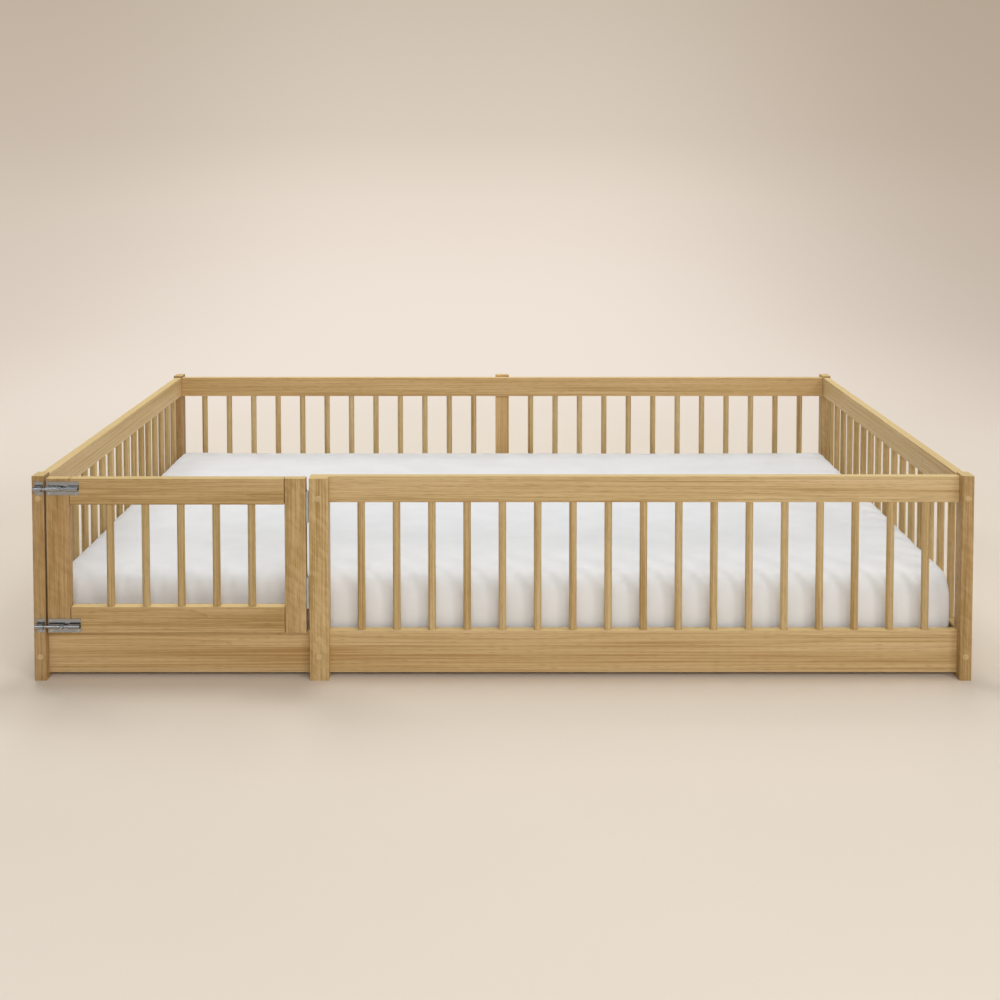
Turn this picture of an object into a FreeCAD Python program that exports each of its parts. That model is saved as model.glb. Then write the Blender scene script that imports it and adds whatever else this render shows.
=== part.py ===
import FreeCAD, Part
import math
import os

import Sketcher
from FreeCAD import Placement, Rotation, Vector

# A toddler floor bed: a low wooden frame with a spindle rail all round, a mattress on slats just
# above the floor, and a spindle gate in the left part of the long front, hung on two butt hinges
# and shut by two barrel bolts. Millimetres. +X runs along the bed, the front faces -Y, +Z is up.
# The origin is on the floor, in the middle of everything, the bolts' knobs included.

# ------------------------------------------------------------------------------------ sizes
SIZES = {
    # mattress and the air round it
    "mattress_length": 1900,
    "mattress_width": 1200,
    "mattress_height": 150,
    "mattress_gap_x": 8,
    "mattress_gap_y": 7,
    "top_roll": 52,
    "low_roll": 16,
    "corner_roll": 26,
    "crown": 4,
    "draw_in": 4,
    "sheet_thickness": 1.2,
    # posts and rails
    "board_thickness": 20,
    "corner_post_width": 25,
    "post_depth": 40,
    "post_height": 433,
    "post_reveal": 5.5,
    "gate_post_width": 40,
    "back_post_width": 40,
    "top_rail_height": 55,
    "bottom_rail_height": 90,
    "floor_gap": 10,
    "eased_edge": 1.6,
    # spindles
    "spindle_diameter": 16,
    "socket_depth": 15,
    "socket_play": 0.2,
    "socket_end_gap": 1,
    "front_spindle_count": 17,
    "back_spindle_count": 12,
    "side_spindle_count": 16,
    # what carries the mattress
    "slat_count": 15,
    "slat_width": 70,
    "slat_thickness": 18,
    "slat_end_gap": 2,
    "ledger_width": 20,
    "ledger_height": 20,
    "ledger_rise": 11,
    "ledger_end_gap": 2,
    "ledger_screw_count": 5,
    "beam_width": 40,
    "foot_diameter": 44,
    "foot_count": 3,
    # gate
    "gate_width": 540.5,
    "gate_thickness": 22,
    "gate_floor_gap": 1.5,
    "latch_gap": 4,
    "hinge_gap": 6.5,
    "latch_stile_width": 48,
    "hinge_stile_width": 44,
    "gate_rail_height": 55,
    "gate_seam": 1,
    "gate_spindle_count": 5,
    "first_spindle_margin": 82.5,
    "last_spindle_margin": 70.5,
    "dowel_diameter": 6,
    "dowel_length": 40,
    "dowel_spacing": 26,
    # frame screws and the plugs over them
    "plug_diameter": 12,
    "plug_thickness": 9,
    "head_height": 3,
    "head_play": 0.4,
    "screw_diameter": 5,
    "long_screw_length": 60,
    "short_screw_length": 25,
    "top_screw_drop": 42.1,
    "top_cross_screw_drop": 12.9,
    "low_screw_rise": 40.5,
    "high_screw_rise": 78,
    # butt hinges
    "hinge_height": 65,
    "hinge_leaf_thickness": 1.5,
    "hinge_leaf_depth": 17,
    "knuckle_diameter": 5.6,
    "knuckle_count": 5,
    "knuckle_gap": 0.3,
    "hinge_pin_diameter": 2.6,
    "hinge_pin_play": 0.3,
    "pin_head_diameter": 4.2,
    "pin_head_height": 1.2,
    "leaf_clearance": 0.4,
    "upper_hinge_drop": 59.7,
    "lower_hinge_rise": 85.3,
    "hinge_screw_diameter": 3,
    "hinge_screw_head": 5,
    "hinge_screw_length": 13,
    "hinge_screw_pitch": 21,
    # barrel bolts
    "upper_bolt_drop": 20.2,
    "lower_bolt_rise": 16.1,
    "bolt_plate_length": 67.5,
    "bolt_plate_setback": 2,
    "bolt_plate_height": 28.7,
    "bolt_plate_thickness": 1.3,
    "bolt_axis_proud": 7.3,
    "barrel_diameter": 10.2,
    "barrel_foot_width": 6,
    "sleeve_setback": 3.5,
    "latch_sleeve_length": 25.2,
    "far_sleeve_length": 24,
    "rod_diameter": 6.6,
    "rod_play": 0.4,
    "rod_length": 69,
    "rod_chamfer": 0.8,
    "bolt_engagement": 6,
    "bolt_release": 4,
    "keeper_length": 17.2,
    "keeper_diameter": 12,
    "keeper_setback": 1.8,
    "keeper_foot_width": 8,
    "keeper_plate_width": 17.4,
    "keeper_plate_setback": 1.4,
    "knob_reach": 10.7,
    "knob_stem_diameter": 5,
    "knob_stem_rounding": 1.4,
    "knob_collar_width": 5.6,
    "knob_collar_diameter": 9.4,
    "knob_play": 0.3,
    "window_play": 0.6,
    "plate_screw_diameter": 2.6,
    "plate_screw_head": 5.2,
    "plate_screw_length": 7.5,
    "plate_screw_inset": 5.6,
    "plate_screw_spread": 21,
}

# Places worked out from the sizes. Each formula may use the sizes and the places above it.
PLACES = {
    "half_inner_length": "Sizes.mattress_length / 2 + Sizes.mattress_gap_x",
    "half_inner_width": "Sizes.mattress_width / 2 + Sizes.mattress_gap_y",
    "side_x": "half_inner_length + Sizes.board_thickness / 2",
    "post_inner_x": "side_x - Sizes.corner_post_width / 2",
    "post_outer_x": "side_x + Sizes.corner_post_width / 2",
    "middle_y": "(Sizes.bolt_axis_proud + Sizes.knob_reach) / 2",
    "inner_front_y": "middle_y - half_inner_width",
    "inner_back_y": "middle_y + half_inner_width",
    "front_y": "inner_front_y - Sizes.post_depth",
    "back_y": "inner_back_y + Sizes.post_depth",
    "front_rail_y": "inner_front_y - Sizes.board_thickness / 2",
    "back_rail_y": "inner_back_y + Sizes.board_thickness / 2",
    "rail_top": "Sizes.post_height - Sizes.post_reveal",
    "top_rail_z": "rail_top - Sizes.top_rail_height",
    "bottom_rail_top": "Sizes.floor_gap + Sizes.bottom_rail_height",
    "socket_diameter": "Sizes.spindle_diameter + Sizes.socket_play",
    "spindle_z": "bottom_rail_top - Sizes.socket_depth",
    "spindle_top": "top_rail_z + Sizes.socket_depth - Sizes.socket_end_gap",
    "gate_left": "Sizes.latch_gap - post_inner_x",
    "gate_right": "gate_left + Sizes.gate_width",
    "gate_post_left": "gate_right + Sizes.hinge_gap",
    "gate_post_x": "gate_post_left + Sizes.gate_post_width / 2",
    "gate_post_right": "gate_post_left + Sizes.gate_post_width",
    "gate_z": "bottom_rail_top + Sizes.gate_floor_gap",
    "gate_height": "rail_top - gate_z",
    "gate_y": "front_y + Sizes.gate_thickness / 2",
    "gate_rail_left": "gate_left + Sizes.latch_stile_width",
    "gate_rail_right": "gate_right - Sizes.hinge_stile_width",
    "gate_rail_x": "(gate_rail_left + gate_rail_right) / 2",
    "gate_rail_length": "gate_rail_right - gate_rail_left",
    "gate_top_rail_z": "rail_top - Sizes.gate_rail_height",
    "gate_bottom_rail_top": "gate_z + Sizes.gate_rail_height",
    "gate_spindle_z": "gate_bottom_rail_top - Sizes.socket_depth",
    "gate_spindle_top": "gate_top_rail_z + Sizes.socket_depth - Sizes.socket_end_gap",
    "gate_first_x": "gate_rail_left + Sizes.first_spindle_margin",
    "gate_last_x": "gate_rail_right - Sizes.last_spindle_margin",
    "gate_pitch": "(gate_last_x - gate_first_x) / (Sizes.gate_spindle_count - 1)",
    "front_span": "post_inner_x - gate_post_right",
    "front_pitch": "(front_span + Sizes.spindle_diameter) / (Sizes.front_spindle_count + 1)",
    "front_first_x": "gate_post_right + front_pitch - Sizes.spindle_diameter / 2",
    "back_span": "post_inner_x - Sizes.back_post_width / 2",
    "back_pitch": "(back_span + Sizes.spindle_diameter) / (Sizes.back_spindle_count + 1)",
    "back_first_x": "Sizes.back_post_width / 2 + back_pitch - Sizes.spindle_diameter / 2",
    "side_pitch": "(2 * half_inner_width + Sizes.spindle_diameter) / (Sizes.side_spindle_count + 1)",
    "side_first_y": "inner_front_y + side_pitch - Sizes.spindle_diameter / 2",
    "ledger_z": "Sizes.floor_gap + Sizes.ledger_rise",
    "slat_z": "ledger_z + Sizes.ledger_height",
    "mattress_z": "slat_z + Sizes.slat_thickness",
    "slat_pitch": "(2 * half_inner_length + Sizes.slat_width) / (Sizes.slat_count + 1)",
    "slat_first_x": "slat_pitch - Sizes.slat_width / 2 - half_inner_length",
    "top_screw_z": "rail_top - Sizes.top_screw_drop",
    "top_cross_screw_z": "rail_top - Sizes.top_cross_screw_drop",
    "low_screw_z": "Sizes.floor_gap + Sizes.low_screw_rise",
    "high_screw_z": "Sizes.floor_gap + Sizes.high_screw_rise",
    "ledger_screw_z": "ledger_z + Sizes.ledger_height / 2",
    "ledger_screw_pitch": "2 * half_inner_length / Sizes.ledger_screw_count",
    "counterbore": "Sizes.plug_thickness + Sizes.head_height",
    "head_diameter": "Sizes.plug_diameter - Sizes.head_play",
    "hinge_x": "gate_right + Sizes.hinge_gap / 2",
    "leaf_start": "Sizes.knuckle_diameter / 2 + Sizes.leaf_clearance",
    "leaf_middle": "leaf_start + Sizes.hinge_leaf_depth / 2",
    "upper_hinge_z": "rail_top - Sizes.upper_hinge_drop - Sizes.hinge_height / 2",
    "lower_hinge_z": "gate_z + Sizes.lower_hinge_rise - Sizes.hinge_height / 2",
    "bolt_y": "front_y - Sizes.bolt_axis_proud",
    "upper_bolt_z": "rail_top - Sizes.upper_bolt_drop",
    "lower_bolt_z": "gate_z + Sizes.lower_bolt_rise",
    "bolt_bore": "Sizes.rod_diameter + 2 * Sizes.rod_play",
    "bolt_throw": "Sizes.bolt_engagement + Sizes.bolt_release",
    "bolt_plate_left": "gate_left + Sizes.bolt_plate_setback",
    "latch_sleeve_left": "gate_left + Sizes.sleeve_setback",
    "window_left": "latch_sleeve_left + Sizes.latch_sleeve_length",
    "knob_x": "window_left + Sizes.window_play + Sizes.knob_collar_width / 2",
    "far_sleeve_x": "knob_x + Sizes.knob_collar_width / 2 + bolt_throw + Sizes.window_play",
    "keeper_right": "0 - post_inner_x - Sizes.keeper_setback",
    "rod_tip": "keeper_right - Sizes.bolt_engagement",
    "keeper_plate_x": "0 - post_inner_x - Sizes.keeper_plate_setback - Sizes.keeper_plate_width / 2",
    "near_screw_x": "bolt_plate_left + Sizes.plate_screw_inset",
    "far_screw_x": "bolt_plate_left + Sizes.bolt_plate_length - Sizes.plate_screw_inset",
}

doc = FreeCAD.newDocument("toddler_floor_bed")


def fill_sheet(name, rows, prefix):
    """A spreadsheet with a name and a value or formula in each row, the value under that alias."""
    sheet = doc.addObject("Spreadsheet::Sheet", name)
    for row, (alias, content) in enumerate(rows.items(), start=1):
        sheet.set(f"A{row}", alias)
        sheet.set(f"B{row}", f"{prefix}{content}")
        sheet.setAlias(f"B{row}", alias)
    doc.recompute()
    return sheet


sizes = fill_sheet("Sizes", SIZES, "")
fill_sheet("Places", PLACES, "=")

nodes = []
pockets = []


def keep(piece, label):
    """Name a finished piece and list it for writing."""
    piece.Label = label
    nodes.append(piece)
    return piece


def bind(target, **expressions):
    """Tie properties to the sheets; a double underscore in a keyword stands for a dot."""
    for name, expression in expressions.items():
        target.setExpression(name.replace("__", "."), expression)


def place(target, at):
    """Tie a piece's position to three expressions."""
    bind(target, Placement__Base__x=at[0], Placement__Base__y=at[1], Placement__Base__z=at[2])


# ------------------------------------------------------------------- wood: bodies and sketches
def origin_item(body, role):
    """One of a body's own origin planes or axes."""
    return next(item for item in body.Origin.OriginFeatures if item.Role == role)


def sketch_on(body, name, role, offset):
    """A sketch on an origin plane of the body, shifted by three expressions in its own axes."""
    sketch = body.newObject("Sketcher::SketchObject", name)
    sketch.AttachmentSupport = [(origin_item(body, role), "")]
    sketch.MapMode = "FlatFace"
    bind(
        sketch,
        AttachmentOffset__Base__x=offset[0],
        AttachmentOffset__Base__y=offset[1],
        AttachmentOffset__Base__z=offset[2],
    )
    return sketch


def draw_rectangle(sketch, width, height):
    """A rectangle round the sketch's origin."""
    corners = [Vector(-5, -5, 0), Vector(5, -5, 0), Vector(5, 5, 0), Vector(-5, 5, 0)]
    for side in range(4):
        sketch.addGeometry(Part.LineSegment(corners[side], corners[(side + 1) % 4]), False)
    for side in range(4):
        sketch.addConstraint(Sketcher.Constraint("Coincident", side, 2, (side + 1) % 4, 1))
    for side, kind in enumerate(["Horizontal", "Vertical", "Horizontal", "Vertical"]):
        sketch.addConstraint(Sketcher.Constraint(kind, side))
    sketch.addConstraint(Sketcher.Constraint("Symmetric", 0, 1, 2, 1, -1, 1))
    across = sketch.addConstraint(Sketcher.Constraint("DistanceX", 0, 1, 0, 2, 10))
    along = sketch.addConstraint(Sketcher.Constraint("DistanceY", 1, 1, 1, 2, 10))
    sketch.setExpression(f"Constraints[{across}]", width)
    sketch.setExpression(f"Constraints[{along}]", height)


def draw_circle(sketch, diameter):
    """A circle round the sketch's origin."""
    sketch.addGeometry(Part.Circle(Vector(0, 0, 0), Vector(0, 0, 1), 5), False)
    sketch.addConstraint(Sketcher.Constraint("Coincident", 0, 3, -1, 1))
    size = sketch.addConstraint(Sketcher.Constraint("Diameter", 0, 10))
    sketch.setExpression(f"Constraints[{size}]", diameter)


class Piece:
    """A body padded upwards from an outline; cuts are given in the bed's own coordinates."""

    # for each way a cutter can go: sketch plane, the sketch's axes, and whether it runs with
    # the plane's normal
    CUTS = {
        "+x": ("YZ_Plane", "yzx", 1, True),
        "-x": ("YZ_Plane", "yzx", 1, False),
        "+y": ("XZ_Plane", "xzy", -1, False),
        "-y": ("XZ_Plane", "xzy", -1, True),
        "+z": ("XY_Plane", "xyz", 1, True),
        "-z": ("XY_Plane", "xyz", 1, False),
    }

    def __init__(self, label, at, height, width=None, depth=None, diameter=None):
        self.label = label
        self.at = dict(zip("xyz", at))
        self.steps = 0
        self.body = doc.addObject("PartDesign::Body", label)
        place(self.body, at)
        outline = sketch_on(self.body, f"{label}_outline", "XY_Plane", ("0", "0", "0"))
        if diameter:
            draw_circle(outline, diameter)
        else:
            draw_rectangle(outline, width, depth)
        pad = self.body.newObject("PartDesign::Pad", f"{label}_pad")
        pad.Profile = outline
        bind(pad, Length=height)
        doc.recompute()
        keep(self.body, label)

    def name(self, what):
        self.steps += 1
        return f"{self.label}_{what}_{self.steps}"

    def ease(self, directions, radius="Sizes.eased_edge", top_only=False):
        """Round the edges that run along the given directions."""
        base = self.body.Tip
        top = base.Shape.BoundBox.ZMax
        chosen = []
        for number, edge in enumerate(base.Shape.Edges, start=1):
            heading = edge.tangentAt(edge.FirstParameter)
            wanted = any(abs(heading.dot(direction)) > 0.999 for direction in directions)
            flat = abs(heading.z) < 0.001
            if wanted and not (top_only and flat and edge.BoundBox.ZMin < top - 0.001):
                chosen.append(f"Edge{number}")
        fillet = self.body.newObject("PartDesign::Fillet", self.name("ease"))
        fillet.Base = (base, chosen)
        bind(fillet, Radius=radius)
        return self

    def cut(self, way, at, depth, width=None, height=None, diameter=None):
        """A pocket that starts at a point and runs one way: round, or width by height."""
        role, axes, sign, with_normal = self.CUTS[way]
        start = dict(zip("xyz", at))
        local = [f"({start[axis]}) - ({self.at[axis]})" for axis in axes]
        if sign < 0:
            local[2] = f"0 - ({local[2]})"
        outline = sketch_on(self.body, self.name("mark"), role, local)
        if diameter:
            draw_circle(outline, diameter)
        else:
            draw_rectangle(outline, width, height)
        pocket = self.body.newObject("PartDesign::Pocket", self.name("pocket"))
        pocket.Profile = outline
        pocket.Reversed = with_normal
        bind(pocket, Length=depth)
        pockets.append(pocket)
        return pocket

    def repeat(self, feature, role, count, pitch, backwards=False):
        """Copy a pad or pocket along one of the body's axes."""
        pattern = self.body.newObject("PartDesign::LinearPattern", self.name("row"))
        pattern.Originals = [feature]
        pattern.Direction = (origin_item(self.body, role), [""])
        pattern.Reversed = backwards
        pattern.Mode = "Spacing"
        bind(pattern, Offset=pitch, Occurrences=count)
        self.body.Tip = pattern
        return self


ALONG_X = [Vector(1, 0, 0)]
ALONG_Y = [Vector(0, 1, 0)]
UPRIGHT = [Vector(0, 0, 1)]
ALL_WAYS = ALONG_X + ALONG_Y + UPRIGHT


def upright(label, x, y, width, depth, height, z="0"):
    """A post or stile, eased along its height and round its top."""
    piece = Piece(label, (x, y, z), height, width=width, depth=depth)
    piece.ease(ALL_WAYS, top_only=True)
    return piece


def rail(label, at, length, height, runs_along_y=False):
    """A board on edge, as thick as every board of the frame."""
    thick = "Sizes.board_thickness"
    if runs_along_y:
        piece = Piece(label, at, height, width=thick, depth=length)
        return piece.ease(ALONG_Y)
    piece = Piece(label, at, height, width=length, depth=thick)
    return piece.ease(ALONG_X)


def sockets(piece, way, first, pitch, count, role, backwards=False):
    """A row of spindle sockets in a rail's edge."""
    socket = piece.cut(way, first, "Sizes.socket_depth", diameter="Places.socket_diameter")
    piece.repeat(socket, role, count, pitch, backwards)


def spindle_row(label, first, length, pitch, count, role, backwards=False):
    """Equal round spindles in a row, as separate solids of one node."""
    row = Piece(label, first, length, diameter="Sizes.spindle_diameter")
    row.repeat(row.body.Tip, role, count, pitch, backwards)
    return row


# ------------------------------------------------------- small parts: primitives and booleans
TURN = {
    "+x": Rotation(Vector(0, 1, 0), 90),
    "-x": Rotation(Vector(0, 1, 0), -90),
    "+y": Rotation(Vector(1, 0, 0), -90),
    "-y": Rotation(Vector(1, 0, 0), 90),
    "+z": Rotation(),
}


def step(at, way, distance):
    """The point that lies a distance from another along one of the six directions."""
    sign, axis = way
    moved = dict(zip("xyz", at))
    moved[axis] = f"({moved[axis]}) {sign} ({distance})"
    return tuple(moved.values())


def box(corner, size):
    """A block from its low corner."""
    block = doc.addObject("Part::Box", "Block")
    bind(block, Length=size[0], Width=size[1], Height=size[2])
    place(block, corner)
    return block


def round_bar(at, way, diameter, length):
    """A cylinder that starts at a point and runs one way."""
    bar = doc.addObject("Part::Cylinder", "Bar")
    bind(bar, Radius=f"({diameter}) / 2", Height=length)
    bar.Placement = Placement(Vector(), TURN[way])
    place(bar, at)
    return bar


def cone(at, way, wide, narrow, length):
    """A cone that starts wide at a point and narrows one way."""
    taper = doc.addObject("Part::Cone", "Taper")
    bind(taper, Radius1=f"({wide}) / 2", Radius2=f"({narrow}) / 2", Height=length)
    taper.Placement = Placement(Vector(), TURN[way])
    place(taper, at)
    return taper


def fuse(shapes):
    union = doc.addObject("Part::MultiFuse", "Union")
    union.Shapes = shapes
    return union


def group(shapes):
    bundle = doc.addObject("Part::Compound", "Bundle")
    bundle.Links = shapes
    return bundle


def cut_away(base, tools):
    """The base less the tools."""
    result = doc.addObject("Part::Cut", "Cutting")
    result.Base = base
    result.Tool = tools[0] if len(tools) == 1 else fuse(tools)
    return result


def wood_screw(at, way, length):
    """A flat-headed frame screw under its plug, from the surface point that it enters at."""
    seat = step(at, way, "Sizes.plug_thickness")
    head = round_bar(seat, way, "Places.head_diameter", "Sizes.head_height")
    shank_start = step(at, way, "Places.counterbore")
    return fuse([head, round_bar(shank_start, way, "Sizes.screw_diameter", length)])


def flush_screw(at, way, head, shank, sheet, length):
    """A countersunk screw whose head fills the thickness of the sheet metal it holds."""
    tapered_head = cone(at, way, head, shank, sheet)
    return fuse([tapered_head, round_bar(step(at, way, sheet), way, shank, length)])


# ------------------------------------------------------------------------------- the frame
LONG_DRIVE = "Places.counterbore + Sizes.long_screw_length"
SHORT_DRIVE = "Places.counterbore + Sizes.short_screw_length"

long_screws = []
short_screws = []
plugs = []


def drill(piece, way, at, depth):
    """A counterbore for head and plug, and the shank's hole on to the given depth."""
    piece.cut(way, at, "Places.counterbore", diameter="Sizes.plug_diameter")
    piece.cut(way, at, depth, diameter="Sizes.screw_diameter")


def screw_together(way, at, near, far, near_depth, short=False, plugged=True):
    """Screw through one piece into the next: holes in both, the screw and its plug."""
    length = "Sizes.short_screw_length" if short else "Sizes.long_screw_length"
    drive = SHORT_DRIVE if short else LONG_DRIVE
    drill(near, way, at, near_depth)
    joint = step(at, way, near_depth)
    far.cut(way, joint, f"{drive} - ({near_depth})", diameter="Sizes.screw_diameter")
    screws = short_screws if short else long_screws
    screws.append(wood_screw(at, way, length))
    if plugged:
        plugs.append(round_bar(at, way, "Sizes.plug_diameter", "Sizes.plug_thickness"))


# posts: left and right, front and back
posts = {}
for side, sign in (("left", "-"), ("right", "+")):
    for end, post_y in (("front", "inner_front_y - "), ("back", "inner_back_y + ")):
        posts[end, side] = upright(
            f"{end}_{side}_post",
            f"0 {sign} Places.side_x",
            f"Places.{post_y}Sizes.post_depth / 2",
            "Sizes.corner_post_width",
            "Sizes.post_depth",
            "Sizes.post_height",
        )

gate_post = upright(
    "gate_post",
    "Places.gate_post_x",
    "Places.inner_front_y - Sizes.post_depth / 2",
    "Sizes.gate_post_width",
    "Sizes.post_depth",
    "Places.rail_top",
)
back_post = upright(
    "back_center_post",
    "0",
    "Places.back_y - (Sizes.post_depth - Sizes.board_thickness) / 2",
    "Sizes.back_post_width",
    "Sizes.post_depth - Sizes.board_thickness",
    "Sizes.post_height",
)

# the gate post is housed over both front rails
for z, height in (
    ("Places.rail_top", "2 * Sizes.top_rail_height"),
    ("Sizes.floor_gap + Sizes.bottom_rail_height / 2", "Sizes.bottom_rail_height"),
):
    gate_post.cut(
        "-y",
        ("Places.gate_post_x", "Places.inner_front_y", z),
        "Sizes.board_thickness",
        width="2 * Sizes.gate_post_width",
        height=height,
    )

# long rails
FULL_LENGTH = "2 * Places.post_inner_x"
front_top = rail(
    "front_top_rail",
    ("(Places.gate_post_left + Places.post_inner_x) / 2", "Places.front_rail_y", "Places.top_rail_z"),
    "Places.post_inner_x - Places.gate_post_left",
    "Sizes.top_rail_height",
)
front_bottom = rail(
    "front_bottom_rail",
    ("0", "Places.front_rail_y", "Sizes.floor_gap"),
    FULL_LENGTH,
    "Sizes.bottom_rail_height",
)
back_top = rail(
    "back_top_rail",
    ("0", "Places.back_rail_y", "Places.top_rail_z"),
    FULL_LENGTH,
    "Sizes.top_rail_height",
)
back_bottom = rail(
    "back_bottom_rail",
    ("0", "Places.back_rail_y", "Sizes.floor_gap"),
    FULL_LENGTH,
    "Sizes.bottom_rail_height",
)

LOWER = "Places.bottom_rail_top"
UPPER = "Places.top_rail_z"
SPINDLE = "Places.spindle_top - Places.spindle_z"

for piece, way, z in ((front_top, "+z", UPPER), (front_bottom, "-z", LOWER)):
    first = ("Places.front_first_x", "Places.front_rail_y", z)
    sockets(piece, way, first, "Places.front_pitch", "Sizes.front_spindle_count", "X_Axis")
spindle_row(
    "front_spindles",
    ("Places.front_first_x", "Places.front_rail_y", "Places.spindle_z"),
    SPINDLE,
    "Places.front_pitch",
    "Sizes.front_spindle_count",
    "X_Axis",
)
for side, sign in (("left", "-"), ("right", "+")):
    first_x = f"0 {sign} Places.back_first_x"
    backwards = side == "left"
    row = ("Places.back_pitch", "Sizes.back_spindle_count", "X_Axis", backwards)
    sockets(back_top, "+z", (first_x, "Places.back_rail_y", UPPER), *row)
    sockets(back_bottom, "-z", (first_x, "Places.back_rail_y", LOWER), *row)
    spindle_row(
        f"back_spindles_{side}",
        (first_x, "Places.back_rail_y", "Places.spindle_z"),
        SPINDLE,
        *row,
    )

# end rails, between the posts
end_rails = {}
for side, sign in (("left", "-"), ("right", "+")):
    x = f"0 {sign} Places.side_x"
    row = ("Places.side_pitch", "Sizes.side_spindle_count", "Y_Axis")
    for level, z, height, way, edge in (
        ("top", UPPER, "Sizes.top_rail_height", "+z", UPPER),
        ("bottom", "Sizes.floor_gap", "Sizes.bottom_rail_height", "-z", LOWER),
    ):
        piece = rail(
            f"{side}_{level}_rail",
            (x, "Places.middle_y", z),
            "2 * Places.half_inner_width",
            height,
            runs_along_y=True,
        )
        sockets(piece, way, (x, "Places.side_first_y", edge), *row)
        end_rails[side, level] = piece
    spindle_row(
        f"{side}_spindles",
        (x, "Places.side_first_y", "Places.spindle_z"),
        SPINDLE,
        *row,
    )

# screws through the corner posts, along the bed and across it
long_rails = {
    ("front", "top"): front_top,
    ("front", "bottom"): front_bottom,
    ("back", "top"): back_top,
    ("back", "bottom"): back_bottom,
}
for side, outward in (("left", "-"), ("right", "+")):
    for end in ("front", "back"):
        post = posts[end, side]
        face_y = "Places.front_y" if end == "front" else "Places.back_y"
        across = "+y" if end == "front" else "-y"
        inward = "+x" if side == "left" else "-x"
        for level, end_z, cross_z in (
            ("top", "Places.top_screw_z", "Places.top_cross_screw_z"),
            ("bottom", "Places.low_screw_z", "Places.high_screw_z"),
        ):
            screw_together(
                across,
                (f"0 {outward} Places.side_x", face_y, end_z),
                post,
                end_rails[side, level],
                "Sizes.post_depth",
            )
            if (side, end, level) == ("left", "front", "top"):
                continue  # the doorway: no rail reaches this post
            screw_together(
                inward,
                (f"0 {outward} Places.post_outer_x", f"Places.{end}_rail_y", cross_z),
                post,
                long_rails[end, level],
                "Sizes.corner_post_width",
            )

# screws through the gate post into the rails that it covers, and through the back rails
for far, z in (
    (front_top, "Places.top_screw_z"),
    (front_bottom, "Places.high_screw_z"),
    (front_bottom, "Places.low_screw_z"),
):
    screw_together(
        "+y",
        ("Places.gate_post_x", "Places.front_y", z),
        gate_post,
        far,
        "Sizes.post_depth - Sizes.board_thickness",
        short=True,
    )
for near, z in (
    (back_top, "Places.top_rail_z + Sizes.top_rail_height / 2"),
    (back_bottom, "Places.high_screw_z"),
    (back_bottom, "Places.low_screw_z"),
):
    screw_together(
        "+y",
        ("0", "Places.inner_back_y", z),
        near,
        back_post,
        "Sizes.board_thickness",
        short=True,
    )

# ------------------------------------------------------------------- what carries the mattress
LEDGER_LENGTH = "2 * Places.half_inner_length - 2 * Sizes.ledger_end_gap"
for end, way, face, board in (
    ("front", "-y", "Places.inner_front_y", front_bottom),
    ("back", "+y", "Places.inner_back_y", back_bottom),
):
    inward = "+" if end == "front" else "-"
    ledger = Piece(
        f"{end}_ledger",
        ("0", f"{face} {inward} Sizes.ledger_width / 2", "Places.ledger_z"),
        "Sizes.ledger_height",
        width=LEDGER_LENGTH,
        depth="Sizes.ledger_width",
    )
    ledger.ease(ALONG_X)
    first_x = "Places.ledger_screw_pitch / 2 - Places.half_inner_length"
    screw_row = ("X_Axis", "Sizes.ledger_screw_count", "Places.ledger_screw_pitch")
    surface = (first_x, f"{face} {inward} Sizes.ledger_width", "Places.ledger_screw_z")
    seat = ledger.cut(way, surface, "Places.counterbore", diameter="Sizes.plug_diameter")
    ledger.repeat(seat, *screw_row)
    hole = ledger.cut(way, surface, "Sizes.ledger_width", diameter="Sizes.screw_diameter")
    ledger.repeat(hole, *screw_row)
    joint = (first_x, face, "Places.ledger_screw_z")
    bite = f"{SHORT_DRIVE} - Sizes.ledger_width"
    hole = board.cut(way, joint, bite, diameter="Sizes.screw_diameter")
    board.repeat(hole, *screw_row)
    for number in range(int(sizes.ledger_screw_count)):
        at = (f"{first_x} + {number} * Places.ledger_screw_pitch", surface[1], surface[2])
        short_screws.append(wood_screw(at, way, "Sizes.short_screw_length"))

slats = Piece(
    "slats",
    ("Places.slat_first_x", "Places.middle_y", "Places.slat_z"),
    "Sizes.slat_thickness",
    width="Sizes.slat_width",
    depth="2 * Places.half_inner_width - 2 * Sizes.slat_end_gap",
)
slats.repeat(slats.body.Tip, "X_Axis", "Sizes.slat_count", "Places.slat_pitch")

beam = Piece(
    "center_beam",
    ("0", "Places.middle_y", "Sizes.floor_gap"),
    "Places.slat_z - Sizes.floor_gap",
    width="2 * Places.half_inner_length",
    depth="Sizes.beam_width",
)
beam.ease(ALONG_X)

FOOT_PITCH = "2 * Places.half_inner_length / (Sizes.foot_count + 1)"
feet = Piece(
    "beam_feet",
    (f"{FOOT_PITCH} - Places.half_inner_length", "Places.middle_y", "0"),
    "Sizes.floor_gap",
    diameter="Sizes.foot_diameter",
)
feet.repeat(feet.body.Tip, "X_Axis", "Sizes.foot_count", FOOT_PITCH)


# ------------------------------------------------------------------------ mattress and sheet
def rounded_outline(half_length, half_width, radius, height):
    """A rectangle with round corners, lying level."""
    x = half_length - radius
    y = half_width - radius
    corners = [(x, y, 0), (-x, y, 90), (-x, -y, 180), (x, -y, 270)]
    arcs = []
    for center_x, center_y, start in corners:
        center = Vector(center_x, center_y, height)
        circle = Part.Circle(center, Vector(0, 0, 1), radius)
        arcs.append(Part.Arc(circle, math.radians(start), math.radians(start + 90)))
    edges = []
    for index, arc in enumerate(arcs):
        following = arcs[(index + 1) % 4]
        edges.append(arc.toShape())
        edges.append(Part.LineSegment(arc.EndPoint, following.StartPoint).toShape())
    return Part.Wire(edges)


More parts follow.
